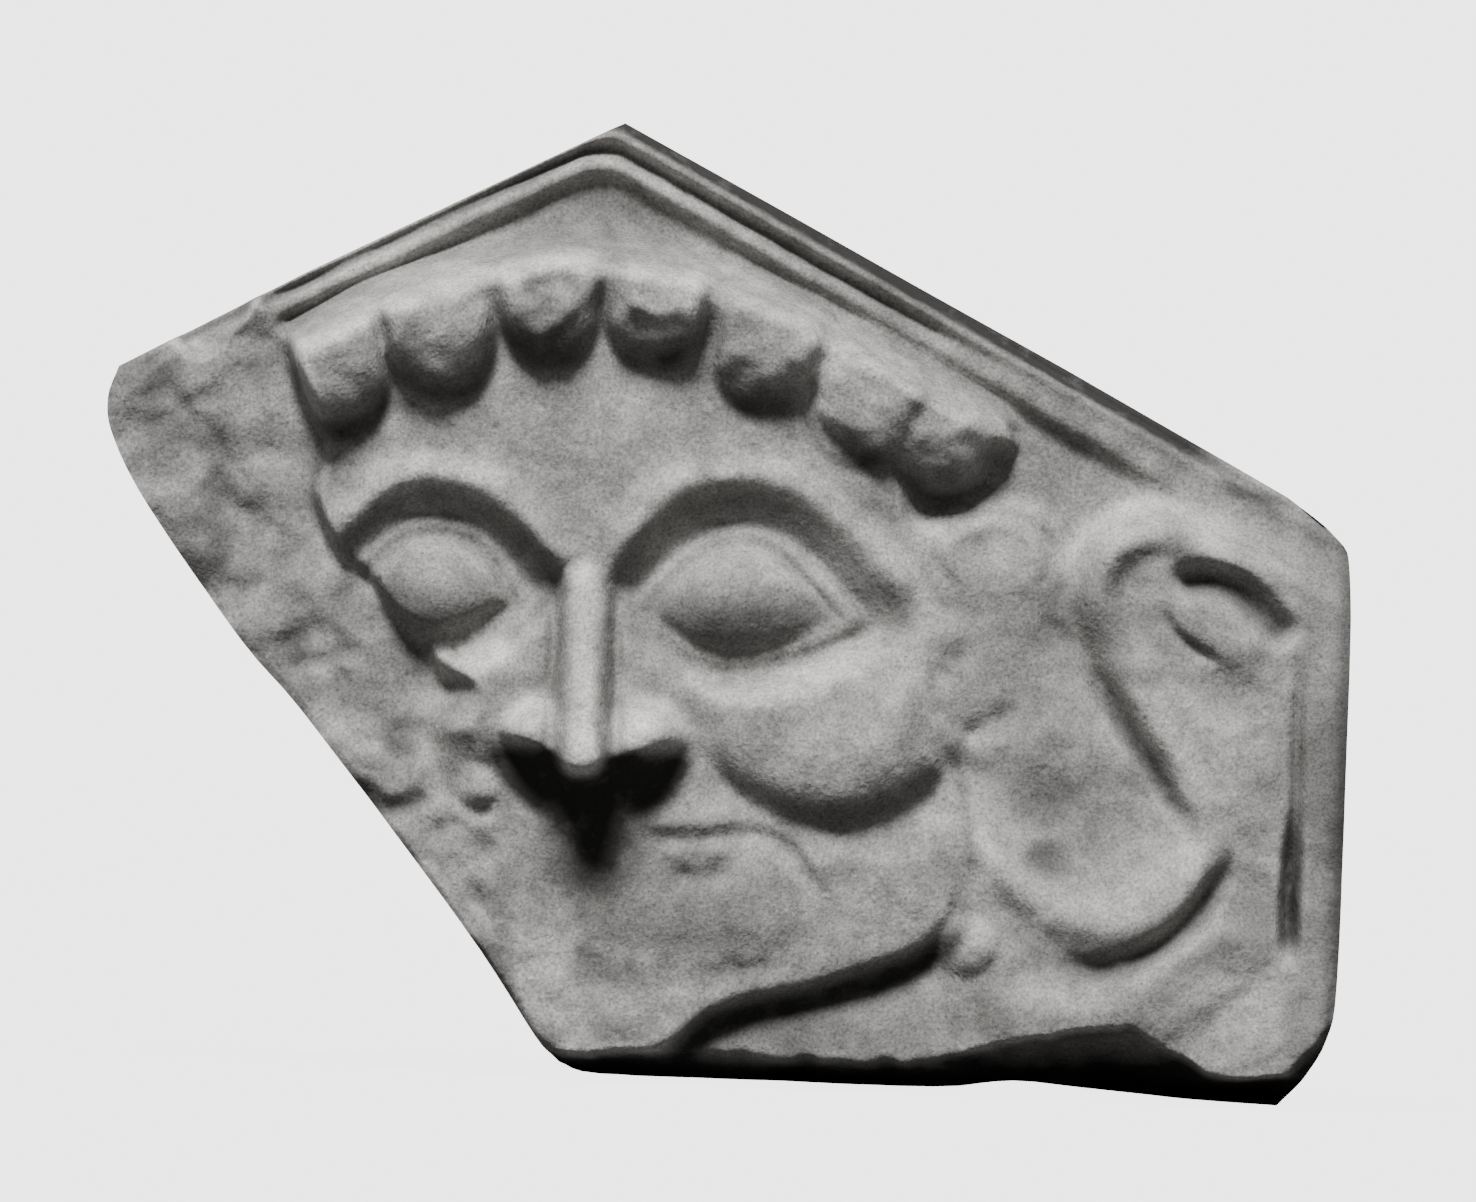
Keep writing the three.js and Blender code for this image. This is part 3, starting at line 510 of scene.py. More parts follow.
@dataclass(frozen=True)
class Mask:
    """The gorgon's face: forehead, brows, eyes, cheeks, nose and what is left of the mouth."""

    axis: float = -4.0
    level: float = 40.0
    half_width: float = 76.0
    side_fall: float = 5.5
    chin_fall: float = 4.5
    forehead: float = 0.085
    brow_half: float = 4.4
    brow_rise: float = 2.2
    cheek_foot: float = 35.0
    cheek_rise: float = 9.0
    cheek_round: float = 5.5
    cheek_fade: float = 3.8
    edge: Line = field(
        default_factory=lambda: Line(
            [(-3, 66), (34, 54), (56, 34), (63, 16), (64, 2), (65.5, -10), (68, -22), (72, -33),
             (74.2, -46), (73.6, -58), (68, -66.8), (57, -72.4), (44, -77.0), (32, -80.2), (24, -83.2),
             (19.0, -88), (12, -92.5), (0, -97), (-20, -99), (-50, -84), (-72, -50), (-78, -15),
             (-72, 20), (-50, 48)],
            closed=True,
            steps=5,
        )
    )
    brows: tuple[Line, ...] = field(
        default_factory=lambda: (
            Line([(-1, 6), (4.5, 15), (13.5, 23.4), (25, 26.4), (36.3, 24.2), (47, 17.6), (56.5, 8.6),
                  (63, 1.5)]),
            Line([(-57, 10), (-50, 16.6), (-43, 22.4), (-33.5, 24.2), (-24, 21.8), (-15.5, 16), (-9, 8.6),
                  (-7.5, 5)]),
        )
    )
    eyes: tuple[Eye, ...] = field(
        default_factory=lambda: (
            Eye(
                Line([(-1.5, 3.5), (0.2, 7.0), (6, 13.6), (14.7, 20.8), (24.9, 23.8), (35.1, 21.6),
                      (45.3, 15.0), (54.1, 6.3), (62, -1.5), (61, -7), (50, -12.5), (38, -17.5),
                      (25, -19.5), (14, -15.5), (5, -8.5)], closed=True),
                Line([(5.0, -2.5), (9, 4.0), (14, 9.4), (20, 13.4), (27, 15.0), (34.5, 13.0), (41.5, 7.8),
                      (47, 3.0), (50.5, -1.8), (45, -5.8), (37.5, -9.4), (28, -12.2), (20, -11.4),
                      (11.5, -7.2)], closed=True),
                Mound((26.5, 1.8), (20.5, 15.0), 7.6, 0.0, 1.2),
                33.5,
            ),
            Eye(
                Line([(-7.0, 2.0), (-8.5, 7.0), (-15.5, 13.6), (-24.7, 19.4), (-33.5, 21.6),
                      (-42.3, 20.2), (-49.6, 14.3), (-57, 7), (-56, -2), (-47, -12), (-36, -17),
                      (-28, -17), (-20, -13), (-13, -7.0)], closed=True),
                Line([(-51, 2.5), (-46.5, 8.8), (-40.5, 13.2), (-34, 14.8), (-27, 13.2), (-21, 8.6),
                      (-17, 3), (-13.5, -2.8), (-21, -6.2), (-28.5, -9.6), (-36, -10.6), (-44, -6)],
                     closed=True),
                Mound((-32.5, 1.4), (19.5, 14.6), 7.6, 0.0, 1.3),
                33.0,
            ),
        )
    )
    fold: Line = field(
        default_factory=lambda: Line(
            [(9, -11), (15, -16), (18.0, -23), (20.5, -30), (26.4, -35.8), (33, -40.2), (41, -42.9),
             (51, -42.8), (58.5, -40.4), (64.3, -36.8), (69, -33), (74, -28)]
        )
    )
    left_cheek: Mound = Mound((-45, -20), (34, 22), 8.0, 6.0, 1.0)
    nose: Nose = field(default_factory=Nose)
    mouth: tuple[Mark | Mound, ...] = (
        Mark(((6, -43.5), (14, -44.8), (22, -44.6), (32, -43.6), (39.5, -45.4), (44, -50), (46.5, -58)),
             7.0, 1.0),
        Mark(((7, -46.0), (14, -47.0), (22, -46.9), (31, -45.8), (37.5, -47.6), (41.5, -52.5),
              (43.5, -59)), 2.8, -1.6),
        Mark(((16, -54), (21, -54.5), (27, -54)), 2.6, -0.8),
        Mound((25.3, -53), (3.4, 2.8), -0.9, 0.0, 1.2),
        Mound((17.5, -54), (3.0, 2.4), -0.7, 0.0, 1.2),
        Mark(((16, -76), (27, -74.5), (39, -72)), 3.4, -0.5),
        Mound((28, -62), (17, 11), 1.6, 20.0, 1.3),
        Mound((-24.3, -38.3), (5.2, 4.6), 2.4, -35.0, 1.1),
        Mark(((-29, -41.4), (-25, -43.2), (-20, -43)), 2.6, -0.7),
        Mound((-22, -51), (6.0, 4.5), -0.9, 30.0, 1.3),
        Mound((8, -62), (12, 14), 1.2, 0.0, 1.3),
    )

    def shape(self, x: Array, z: Array) -> tuple[Array, Array]:
        """Works out the face.

        Args:
            x: Places across.
            z: Places up.

        Returns:
            Its height, and a share that falls to 0 across its edge.
        """
        level = self.level - self.side_fall * ((x - self.axis) / self.half_width) ** 2
        level = level - self.chin_fall * ramp(-30.0, -85.0, z) + self.forehead * np.clip(z - 20.0, 0.0, 30.0)
        for brow in self.brows:
            level = level + self.brow_rise * brow.bead(x, z, self.brow_half, 0.12, 0.08)
        distance, _, side = self.fold.near(x, z, 48.0)
        over = distance * side
        above = np.maximum(over, 0.0)
        swell = self.cheek_rise * (1.0 - np.exp(-above / self.cheek_round))
        swell = swell - self.cheek_fade * ramp(12.0, 31.0, above)
        right = ramp(12.0, 32.0, x) * ramp(80.0, 66.0, x)
        foot = self.cheek_foot - 3.0 * ramp(48.0, 68.0, x)
        cheek = foot + swell
        level = mix(level, cheek, ramp(-3.0, -17.0, z) * ramp(-0.8, 0.8, over) * right)
        muzzle = np.minimum(level, foot + 2.6 * ramp(0.0, 16.0, -over))
        level = mix(level, muzzle, ramp(0.8, -0.8, over) * right * ramp(-20.0, -28.0, z))
        level = level + self.left_cheek.height(x, z)
        for eye in self.eyes:
            level = eye.carve(level, x, z)
        level = marked(self.nose.raise_on(level, x, z), x, z, self.mouth)
        soft = 4.0 * ramp(56.0, 64.0, x) * ramp(-34.0, -22.0, z)
        return level, ramp(-2.4 - soft, 3.0 + soft, self.edge.inside(x, z, 30.0))

    def shade_and_stain(self, x: Array, z: Array) -> Array:
        """Painted shade round the eyes and the nose, in the cheek's fold and beside the jaw, and painted
        shadow under the chin.
        """
        distance, along, side = self.fold.near(x, z, 14.0)
        over = distance * side
        ragged = over + 1.2 * rough(x, z, 6.0, 33)
        # Painted shade below the cheek's fold.
        fold = 0.5 * ramp(-0.9, 0.3, over) * ramp(8.0, 1.5, ragged) * ramp(0.2, 0.5, along)
        edge = self.edge.inside(x, z, 12.0)
        jaw = 0.5 * bell((edge + 0.6) / 1.7) * ramp(62.0, 68.0, x) * ramp(-24.0, -32.0, z)
        # Painted shadow under the chin's edge and on the ground below it.
        chin = 1.1 * bell((edge + 1.8) / 4.8) * ramp(10.0, 22.0, x) * ramp(-54.0, -68.0, z)
        below = 0.42 * ramp(1.5, -1.5, edge) * ramp(-70.0, -79.0, z)
        below = below * ramp(20.0, 30.0, x) * ramp(84.0, 62.0, x)
        chin = np.maximum(chin, below * (1.0 + 0.4 * rough(x, z, 7.0, 43)))
        eyes = [eye.shade_and_stain(x, z) for eye in self.eyes]
        return np.maximum.reduce([self.nose.shade_and_stain(x, z), fold * ramp(1.0, 0.9, along), chin, jaw, *eyes])


@dataclass(frozen=True)
class Ear:
    """The worn ear between the cheek and the snake, with two small lobes under it."""

    outline: Line = field(
        default_factory=lambda: Line(
            [(56, 14), (63, 22.5), (74, 25.5), (85, 22.5), (91.5, 14), (94, 3), (94, -10), (100, -22),
             (92, -34), (74, -34), (60, -28), (56, -8)],
            closed=True,
        )
    )
    rise: float = 6.0
    centre: tuple[float, float] = (77.0, 11.5)
    forms: tuple[Mark | Mound, ...] = (
        Mound((68.6, -4.5), (5.5, 5.0), 1.2, 0.0, 1.3),
        Mound((75.5, -15), (9.5, 8.5), 1.3, 0.0, 1.4),
        Mark(((69.5, -10), (66.8, -14), (66.6, -18), (68.4, -22)), 2.6, -1.3),
        Mark(((72.0, -25.0), (75, -23.8), (79, -20.8), (84, -18)), 3.0, -1.4),
        Mound((91, -18.5), (5.0, 4.2), -1.5, 0.0, 1.3),
        Mark(((84, -12), (88, -6), (92, -1)), 5.5, -0.9),
        Mark(((59, 2), (62, -2), (60, -8)), 3.4, -0.9),
    )

    def raise_on(self, level: Array, x: Array, z: Array) -> Array:
        """Adds the ear to a level."""
        rise = self.rise + 3.5 * ramp(84.0, 64.0, x)
        level = level + rise * ramp(-3.0, 9.0, self.outline.inside(x, z, 20.0))
        ring = np.hypot((x - self.centre[0]) / 1.25, z - self.centre[1])
        upper = ramp(3.0, 10.0, z)
        level = level + (1.3 * bell((ring - 11.3) / 2.4) + 1.0 * bell((ring - 7.2) / 2.0)) * upper
        return marked(level, x, z, self.forms)


@dataclass(frozen=True)
class Snake:
    """A coil like a shallow bowl, and the snake's neck and head rising beside it."""

    bowl: Line = field(
        default_factory=lambda: Line(
            [(73, -33), (76.5, -45), (83, -54), (92, -60.5), (103, -63), (113, -60), (121, -52.5),
             (125.5, -44), (124, -36)]
        )
    )
    body: Line = field(
        default_factory=lambda: Line(
            [(92.5, 2), (97, -9), (106, -23), (117.5, -40), (122, -48), (128, -62), (134, -82),
             (156, -90), (158, -20), (156, 8), (146, 15), (135, 19.5), (122, 23.0), (109, 24.6),
             (98, 21.3), (92.5, 12)],
            closed=True,
        )
    )
    rise: float = 8.5
    bowl_rise: float = 4.4
    jaw: Trace = ((111.6, 4.0), (113.0, 0.2), (116, -2.9), (120.5, -5.8), (124.5, -7.6))
    forms: tuple[Mark | Mound, ...] = (
        Mark(((101, -14), (96.8, -4), (96.3, 7), (100.2, 14.8), (108, 19.0), (116, 18.6), (126, 14.0)),
             7.0, 3.2, 0.3),
        Mark(((103, -10), (103, -1), (104, 6), (108, 11.5)), 7.5, -1.0, 0.3),
        Mark(((112.8, 6.4), (118.5, 8.6), (125.5, 7.4), (132, 2.6), (138, -3.4)), 4.9, -4.4, 0.14),
        Mound((121, 0.0), (13.0, 6.5), 1.6, -24.0, 1.0),
        Mark(jaw, 1.9, -1.2, 0.2),
        Mound((125.5, -14), (9.0, 7.0), -2.0, -15.0, 1.4),
        Mound((138, -25), (9, 30), -1.6, 0.0, 1.4),
        Mound((89.0, -37.0), (10.0, 8.0), -1.8, 0.0, 1.4),
        Mound((104, -38), (15, 13), -1.4, 0.0, 1.5),
        Mound((90.8, -49.0), (5.4, 4.8), -1.8, 0.0, 1.3),
        Mark(((96.5, -8.5), (103, -18.5), (111, -29.7), (121, -44.0)), 3.4, -2.8, 0.22),
    )
    # Painted shade in the throat, under the jaw, along the neck and in the coil's hollows.
    shade_and_dirt: tuple[Mark | Mound, ...] = (
        Mark(((113, 6.2), (118.5, 8.4), (125.5, 7.2), (132, 2.4), (138, -3.6)), 4.6, 0.85, 0.14),
        Mark(((96, -7), (103, -18.5), (111, -29.7), (121, -44.0)), 3.6, 0.8, 0.25),
        Mark(jaw, 1.6, 0.55, 0.15),
        Mark(((103, -13), (103, -2), (103.5, 5), (107, 11)), 6.5, 0.42, 0.35),
        Mound((88.8, -37.0), (10.5, 8.5), 0.6, 0.0, 1.2),
        Mound((90.8, -49.0), (6.6, 6.0), 0.66, 0.0, 1.1),
        Mound((125.5, -15), (9.5, 7.5), 0.42, -15.0, 1.2),
    )

    def raise_on(self, level: Array, x: Array, z: Array, ground: float) -> Array:
        """Adds the coil and the snake to a level."""
        distance, along, side = self.bowl.near(x, z, 34.0)
        inner = distance * side
        shelf = 5.6 * ramp(-10.0, 2.0, inner) * ramp(40.0, 24.0, inner)
        rim = self.bowl_rise * np.where(inner > 0, ramp(16.0, 0.0, inner), ramp(-10.0, 0.0, inner))
        level = soft_max(level, ground + shelf + rim * ramp(0.0, 0.2, along), 2.6)
        low = ramp(-70.0, -34.0, z)
        slope = mix(10.0, 6.0, ramp(-4.0, -16.0, z))
        body = self.rise * ramp(-1.6, slope, self.body.inside(x, z, 30.0)) * mix(0.5, 1.0, low)
        return marked(soft_max(level, ground + body, 1.6), x, z, self.forms)

    def shade_and_stain(self, x: Array, z: Array) -> Array:
        """Painted shade in the throat, under the jaw, along the neck and in the hollows of the coil."""
        return np.maximum.reduce([form.height(x, z) for form in self.shade_and_dirt])


@dataclass(frozen=True)
class Border:
    """The raised strip along the right edge, the snake's tail and what is left of the lower corner."""

    strip_at: float = 139.7
    strip_rise: float = 6.5
    furrow_depth: float = 3.2
    corner: Line = field(
        default_factory=lambda: Line(
            [(112, -90), (119, -78), (127, -69), (137, -64), (152, -66), (152, -84), (140, -96),
             (120, -96)], closed=True
        )
    )
    groove: Trace = ((90.5, -67.5), (100, -70.0), (108, -68.2), (115, -64.2), (121.5, -57.5), (125.5, -50),
                     (127.5, -43))
    forms: tuple[Mark | Mound, ...] = (
        Mark(((76, -77), (88, -80), (102, -79), (116, -73), (127, -63), (134, -52)), 11.0, 3.4, 0.2),
        Mark(groove, 3.8, -3.3, 0.25),
        Mound((75, -66.5), (6.5, 6.5), 3.4, 0.0, 1.0),
        Mound((132.5, -55), (9, 8), -1.6, 0.0, 1.5),
        Mound((84, -60), (10, 7), -0.8, 20.0, 1.3),
        Mark(((108, -80), (116, -74.5), (124, -67.5), (131, -60.5)), 7.0, -1.3, 0.3),
    )
    # Painted shade in the tail's grooves and in two hollows.
    shade_and_dirt: tuple[Mark | Mound, ...] = (
        Mark(groove, 3.3, 0.85, 0.25),
        Mark(((108, -80), (116, -74.5), (124, -67.5), (132, -58.5)), 5.5, 0.4, 0.25),
        Mound((85, -60), (10.5, 7.5), 0.26, 15.0, 1.3),
        Mound((133, -57), (9.5, 10.0), 0.55, 0.0, 1.2),
    )

    @staticmethod
    def furrow(aside: Array, lower: Array, z: Array, spread: float) -> Array:
        """Share of the furrow's full depth at places this far from its middle; it is wider lower down."""
        return bell(aside / (1.5 + spread * lower)) * ramp(-3.0, -16.0, z) * ramp(-69.0, -61.0, z)

    def raise_on(self, level: Array, x: Array, z: Array, ground: float) -> Array:
        """Adds the strip, the tail and the corner to a level."""
        strip = self.strip_rise * ramp(self.strip_at - 1.4, self.strip_at + 1.6, x) * ramp(20.0, 4.0, z)
        level = soft_max(level, ground + strip, 1.2)
        level = soft_max(level, ground + 8.0 * ramp(-36.0, -56.0, z) * ramp(66.0, 80.0, x), 2.6)
        level = soft_max(level, ground + 7.5 * ramp(-2.5, 8.0, self.corner.inside(x, z, 20.0)), 1.6)
        level = marked(level, x, z, self.forms)
        lower = ramp(-34.0, -50.0, z)
        return level - (self.furrow_depth + 3.6 * lower) * self.furrow(x - self.strip_at, lower, z, 1.3)

    def shade_and_stain(self, x: Array, z: Array) -> Array:
        """Painted shade in the furrow, in the groove of the tail and in two hollows, a darker strip, and
        painted shade on the strip's outer edge.
        """
        lower = ramp(-34.0, -50.0, z)
        furrow = (0.75 + 0.25 * lower) * self.furrow(x - self.strip_at - 0.2, lower, z, 2.0)
        strip = 0.36 * ramp(self.strip_at - 4.0, self.strip_at + 2.5, x) * ramp(30.0, 20.0, z)
        strip = strip + 0.4 * ramp(145.6, 148.6, x) * ramp(30.0, 16.0, z)
        return np.maximum.reduce([furrow, strip] + [form.height(x, z) for form in self.shade_and_dirt])


@dataclass(frozen=True)
class Breaks:
    """The spalled left side, the broken foot and corner, and the cracks."""

    scar: Line = field(
        default_factory=lambda: Line(
            [(-72, 58), (-65, 49), (-62.5, 42), (-59, 34), (-56.5, 28), (-59.5, 21), (-53.5, 8),
             (-46.5, 2.5), (-40.5, -7), (-34, -13), (-29, -19), (-33, -27), (-28.5, -35), (-29, -43),
             (-25, -53), (-20, -64), (-15, -76), (-8, -88), (4, -99), (-30, -104), (-112, -20),
             (-116, 50), (-96, 55), (-83, 46), (-77, 51)],
            closed=True,
            steps=5,
        )
    )
    cracks: tuple[Mark, ...] = (
        Mark(((-91, 40), (-87, 37.2), (-84, 33.4), (-80, 30.4), (-77, 25.6), (-73, 23)), 1.7, -0.8),
        Mark(((-63, -18.4), (-60, -15.4), (-55.5, -14.6), (-52, -12.6), (-47, -12.2)), 2.4, -1.1),
        Mark(((-49, -38.5), (-45.6, -40.8), (-42, -43.6), (-38, -42.6), (-34, -39.6)), 3.0, -1.6),
        Mark(((-33, -18), (-30.6, -18.6), (-28.5, -17.6), (-25, -18.6)), 2.0, -0.9),
        Mark(((-97, 30), (-90, 20), (-80, 8), (-70, -3)), 8.0, 0.8),
        Mark(((-29.4, -10.5), (-29.0, -14.0)), 1.2, -1.2),
    )
    level: float = 33.5
    slope: float = 0.13
    step: float = 2.4
    foot: float = -90.8
    foot_z: float = -95.8
    foot_level: float = 8.0

    def foot_edge(self, x: Array) -> Array:
        """Upper edge of the broken foot."""
        high = 8.2 * ramp(58.0, 100.0, x) * ramp(128.0, 108.0, x)
        return self.foot + high + 0.9 * rough(x, x * 0.0, 13.0, 21) + 0.7 * noise(x, x * 0.0, 4.0, 27)

    def corner_depth(self, x: Array, z: Array) -> Array:
        """Distance into the chipped lower right corner."""
        return (x - 137.5) * 0.76 - (z + 92.5) * 0.65 + 0.9 * noise(x, z, 6.0, 23)

    def cut(self, level: Array, x: Array, z: Array) -> Array:
        """Breaks the left side, the foot and the corner off a level."""
        scar = self.scar.inside(x, z, 60.0) + 0.8 * rough(x, z, 9.0, 31)
        ledge = self.step * ramp(-0.5, 0.5, noise(x * 0.75 + z * 0.5, z * 0.9 - x * 0.4, 21.0, 5))
        shelf = 1.1 * ramp(-0.25, 0.25, noise(x * 0.5 + z * 0.8, z * 0.7 - x * 0.6, 9.0, 15))
        top = self.level + 2.6 * ramp(-18.0, -40.0, z)
        spall = top - self.slope * np.clip(scar, 0.0, 60.0) + 1.2 * rough(x, z, 12.0, 11, 4) - ledge - shelf
        soft = ramp(-10.0, -22.0, z) * ramp(-66.0, -50.0, z)
        level = mix(level, spall, ramp(-1.6 - 5.0 * soft, 1.2 + 2.5 * soft, scar))
        edge = self.foot_edge(x)
        under = self.foot_level + 20.0 * (z - self.foot_z) / (edge - self.foot_z)
        under = under + 1.7 * rough(x, z * 1.6, 8.0, 9)
        level = soft_min(level, under + 40.0 * ramp(edge - 0.6, edge + 2.2, z), 1.2)
        chip = 33.0 - 2.2 * np.maximum(self.corner_depth(x, z), -20.0) + rough(x, z, 5.0, 25)
        level = soft_min(level, np.maximum(chip, 10.0), 1.2)
        return marked(level, x, z, self.cracks)

    def shade_and_stain(self, x: Array, z: Array) -> Array:
        """Painted shade in the cracks, on the broken foot and in the chipped corner."""
        patchy = 0.4 + 0.6 * ramp(-85.0, -92.0, z) + 0.25 * rough(x, z * 1.5, 7.0, 37)
        total = patchy * ramp(1.8, -1.2, z - self.foot_edge(x)) * ramp(20.0, 70.0, x)
        total = total + 0.5 * ramp(1.0, -1.0, z + 91.5) * ramp(-6.0, 6.0, x)
        total = np.maximum(total, 0.9 * ramp(-0.5, 2.0, self.corner_depth(x, z)) * ramp(120.0, 135.0, x))
        for crack in self.cracks:
            if crack.rise < 0:
                total = np.maximum(total, -0.45 * crack.height(x, z))
        return total


@dataclass(frozen=True)
class Relief:
    """The whole carved front."""

    ground: Ground = field(default_factory=Ground)
    mouldings: Mouldings = field(default_factory=Mouldings)
    ear: Ear = field(default_factory=Ear)
    snake: Snake = field(default_factory=Snake)
    border: Border = field(default_factory=Border)
    mask: Mask = field(default_factory=Mask)
    hair: Hair = field(default_factory=Hair)
    breaks: Breaks = field(default_factory=Breaks)
    # Painted highlights on slopes that face the light: on the snake and its coil, the corner, the nose's
    # wings, the cheeks, the lip and the chin.
    pale: tuple[Mark | Mound, ...] = (
        Mark(((94, 2), (94.5, 12), (99, 19.5), (106, 23.0), (115, 22.5), (122, 18.5), (130, 14)),
             6.5, 0.75, 0.2),
        Mark(((73, -36), (76, -46), (83, -52.5), (92, -56.5), (103, -57.5), (113, -54), (119, -47),
              (121.5, -39)), 7.0, 0.65, 0.15),
        Mark(((107, -12), (114, -25), (122, -38)), 7.0, 0.4, 0.25),
        Mark(((82, -73), (96, -76), (108, -75)), 5.5, 0.5, 0.25),
        Mound((128, -77), (13, 12), 0.65, 0.0, 1.0),
        Mound((75, -65), (7, 6), 0.8, 0.0, 1.0),
        Mound((-15.5, -24.5), (8.5, 6.5), 0.9, 0.0, 0.8),
        Mound((11, -24.5), (9, 6.5), 0.9, 0.0, 0.8),
        Mark(((12, -12), (24, -18.5), (36, -17), (48, -11), (56, -6)), 5.0, 0.6, 0.2),
        Mark(((-35, -15), (-27, -14.5), (-17, -10)), 5.0, 0.8, 0.2),
        Mound((-13, -72), (13, 16), 0.55, 0.0, 1.0),
        Mound((30, -30), (14, 8), 0.25, 0.0, 1.0),
        Mound((-24.3, -37.8), (5.0, 4.5), 0.8, 0.0, 1.0),
    )

    def height(self, x: Array, z: Array) -> Array:
        """Height of the relief over the back, in millimetres."""
        wx = x + 0.45 * noise(x, z, 11.0, 51)
        wz = z + 0.45 * noise(x, z, 11.0, 52)
        level = self.mouldings.raise_on(self.ground.height(x, z), x, z)
        level = self.ear.raise_on(level, wx, wz)
        level = self.snake.raise_on(level, wx, wz, self.ground.level)
        level = self.border.raise_on(level, wx, wz, self.ground.level)
        face, share = self.mask.shape(wx, wz)
        level = np.maximum(level, mix(level, face, share))
        level = soft_max(level, self.hair.height(wx, wz, self.ground.level), 0.8)
        worn = 0.26 * rough(x, z, 7.0, 71) + 0.12 * rough(x, z, 2.2, 72, 2)
        return self.breaks.cut(level + worn, x, z)

    def shade_and_stain(self, x: Array, z: Array) -> Array:
        """How dark each place is painted, from 0 to 1: the parts' painted shade except over the broken left
        side, the breaks' painted shade, and random blotches, heavier low on the left and over the broken
        side and a little darker right of x 66 mm.
        """
        left = ramp(-1.0, 2.0, self.breaks.scar.inside(x, z, 20.0))
        parts = (self.mouldings, self.hair, self.mask, self.snake, self.border)
        kept = np.maximum.reduce([part.shade_and_stain(x, z) for part in parts]) * (1.0 - left)
        low = np.maximum(ramp(12.0, -6.0, x) * ramp(-20.0, -45.0, z), left)
        blotch = (0.24 + 0.3 * low) * ramp(0.1, 1.1, rough(x, z, 10.0, 38, 4)) + 0.14 * ramp(66.0, 90.0, x)
        return np.clip(np.maximum.reduce([kept, self.breaks.shade_and_stain(x, z), blotch]), 0.0, 1.0)

    def painted_highlight(self, x: Array, z: Array) -> Array:
        """How pale each place is painted as a highlight, from 0 to 1."""
        total = np.maximum.reduce([form.height(x, z) for form in self.pale])
        for brow in self.mask.brows:
            # Painted highlight along the upper rim of each brow.
            total = np.maximum(total, 0.5 * brow.bead(x, z + 0.6, 3.6, 0.15, 0.15))
        # Painted highlight on the nose's ridge.
        ridge = 0.7 * self.mask.nose.bridge.bead(x, z, 5.0, 0.12, 0.0)
        return np.clip(np.maximum(total, ridge) * (1.0 + 0.3 * rough(x, z, 7.0, 39)), 0.0, 1.0)


class Side(Enum):
    """The sides of what survives of the plaque."""

    FOOT = "foot"
    RIGHT = "right"
    RAKES = "rakes"
    BREAK = "break"


@dataclass(frozen=True)
class Outline:
    """The four sides of what survives, each from left to right or from its foot up."""

    rakes: Points = field(
        default_factory=lambda: [(-99.2, 42.8), (-62, 63.4), (-30, 80.1), (0, 95.7), (30, 80.6),
                                 (60, 65.3), (90, 50.2), (125, 32.0), (136, 26.2)]
    )
    foot: Points = field(
        default_factory=lambda: [(-5.5, -93), (3, -95.4), (36, -95.4), (70, -95.2), (86, -93.3),
                                 (104, -94.5), (123, -95.7), (139.5, -96.3)]
    )
    right: Points = field(
        default_factory=lambda: [(139.5, -96.3), (144, -90), (148, -82), (149.6, -70), (149.6, -30),
                                 (149, 10), (146, 18.5), (136, 26.2)]
    )
    left: Points = field(
        default_factory=lambda: [(-5.5, -93), (-10.5, -87.5), (-22, -71), (-39, -49.7), (-60, -24.5),
                                 (-72.6, -11.1), (-91.7, 14.2), (-99.6, 28), (-101.2, 36), (-99.2, 42.8)]
    )

    def whole(self) -> Line:
        """The four sides as one closed line."""
        upper = self.rakes[-2::-1] + self.left[-2:0:-1]
        return Line(self.foot + self.right[1:] + upper, closed=True, steps=1)

    @staticmethod
    def along(points: Points, count: int, steps: int) -> Array:
        """Places at even distances along a side.

        Args:
            points: The side's points.
            count: How many stretches to make.
            steps: 1 for straight pieces between the points, or more for a smooth curve.

        Returns:
            The places, one more than the stretches.
        """
        line = Line(points, steps=steps)
        run = np.linspace(0.0, line.run[-1], count + 1)
        return np.stack([np.interp(run, line.run, line.knots[:, k]) for k in (0, 1)], axis=1)


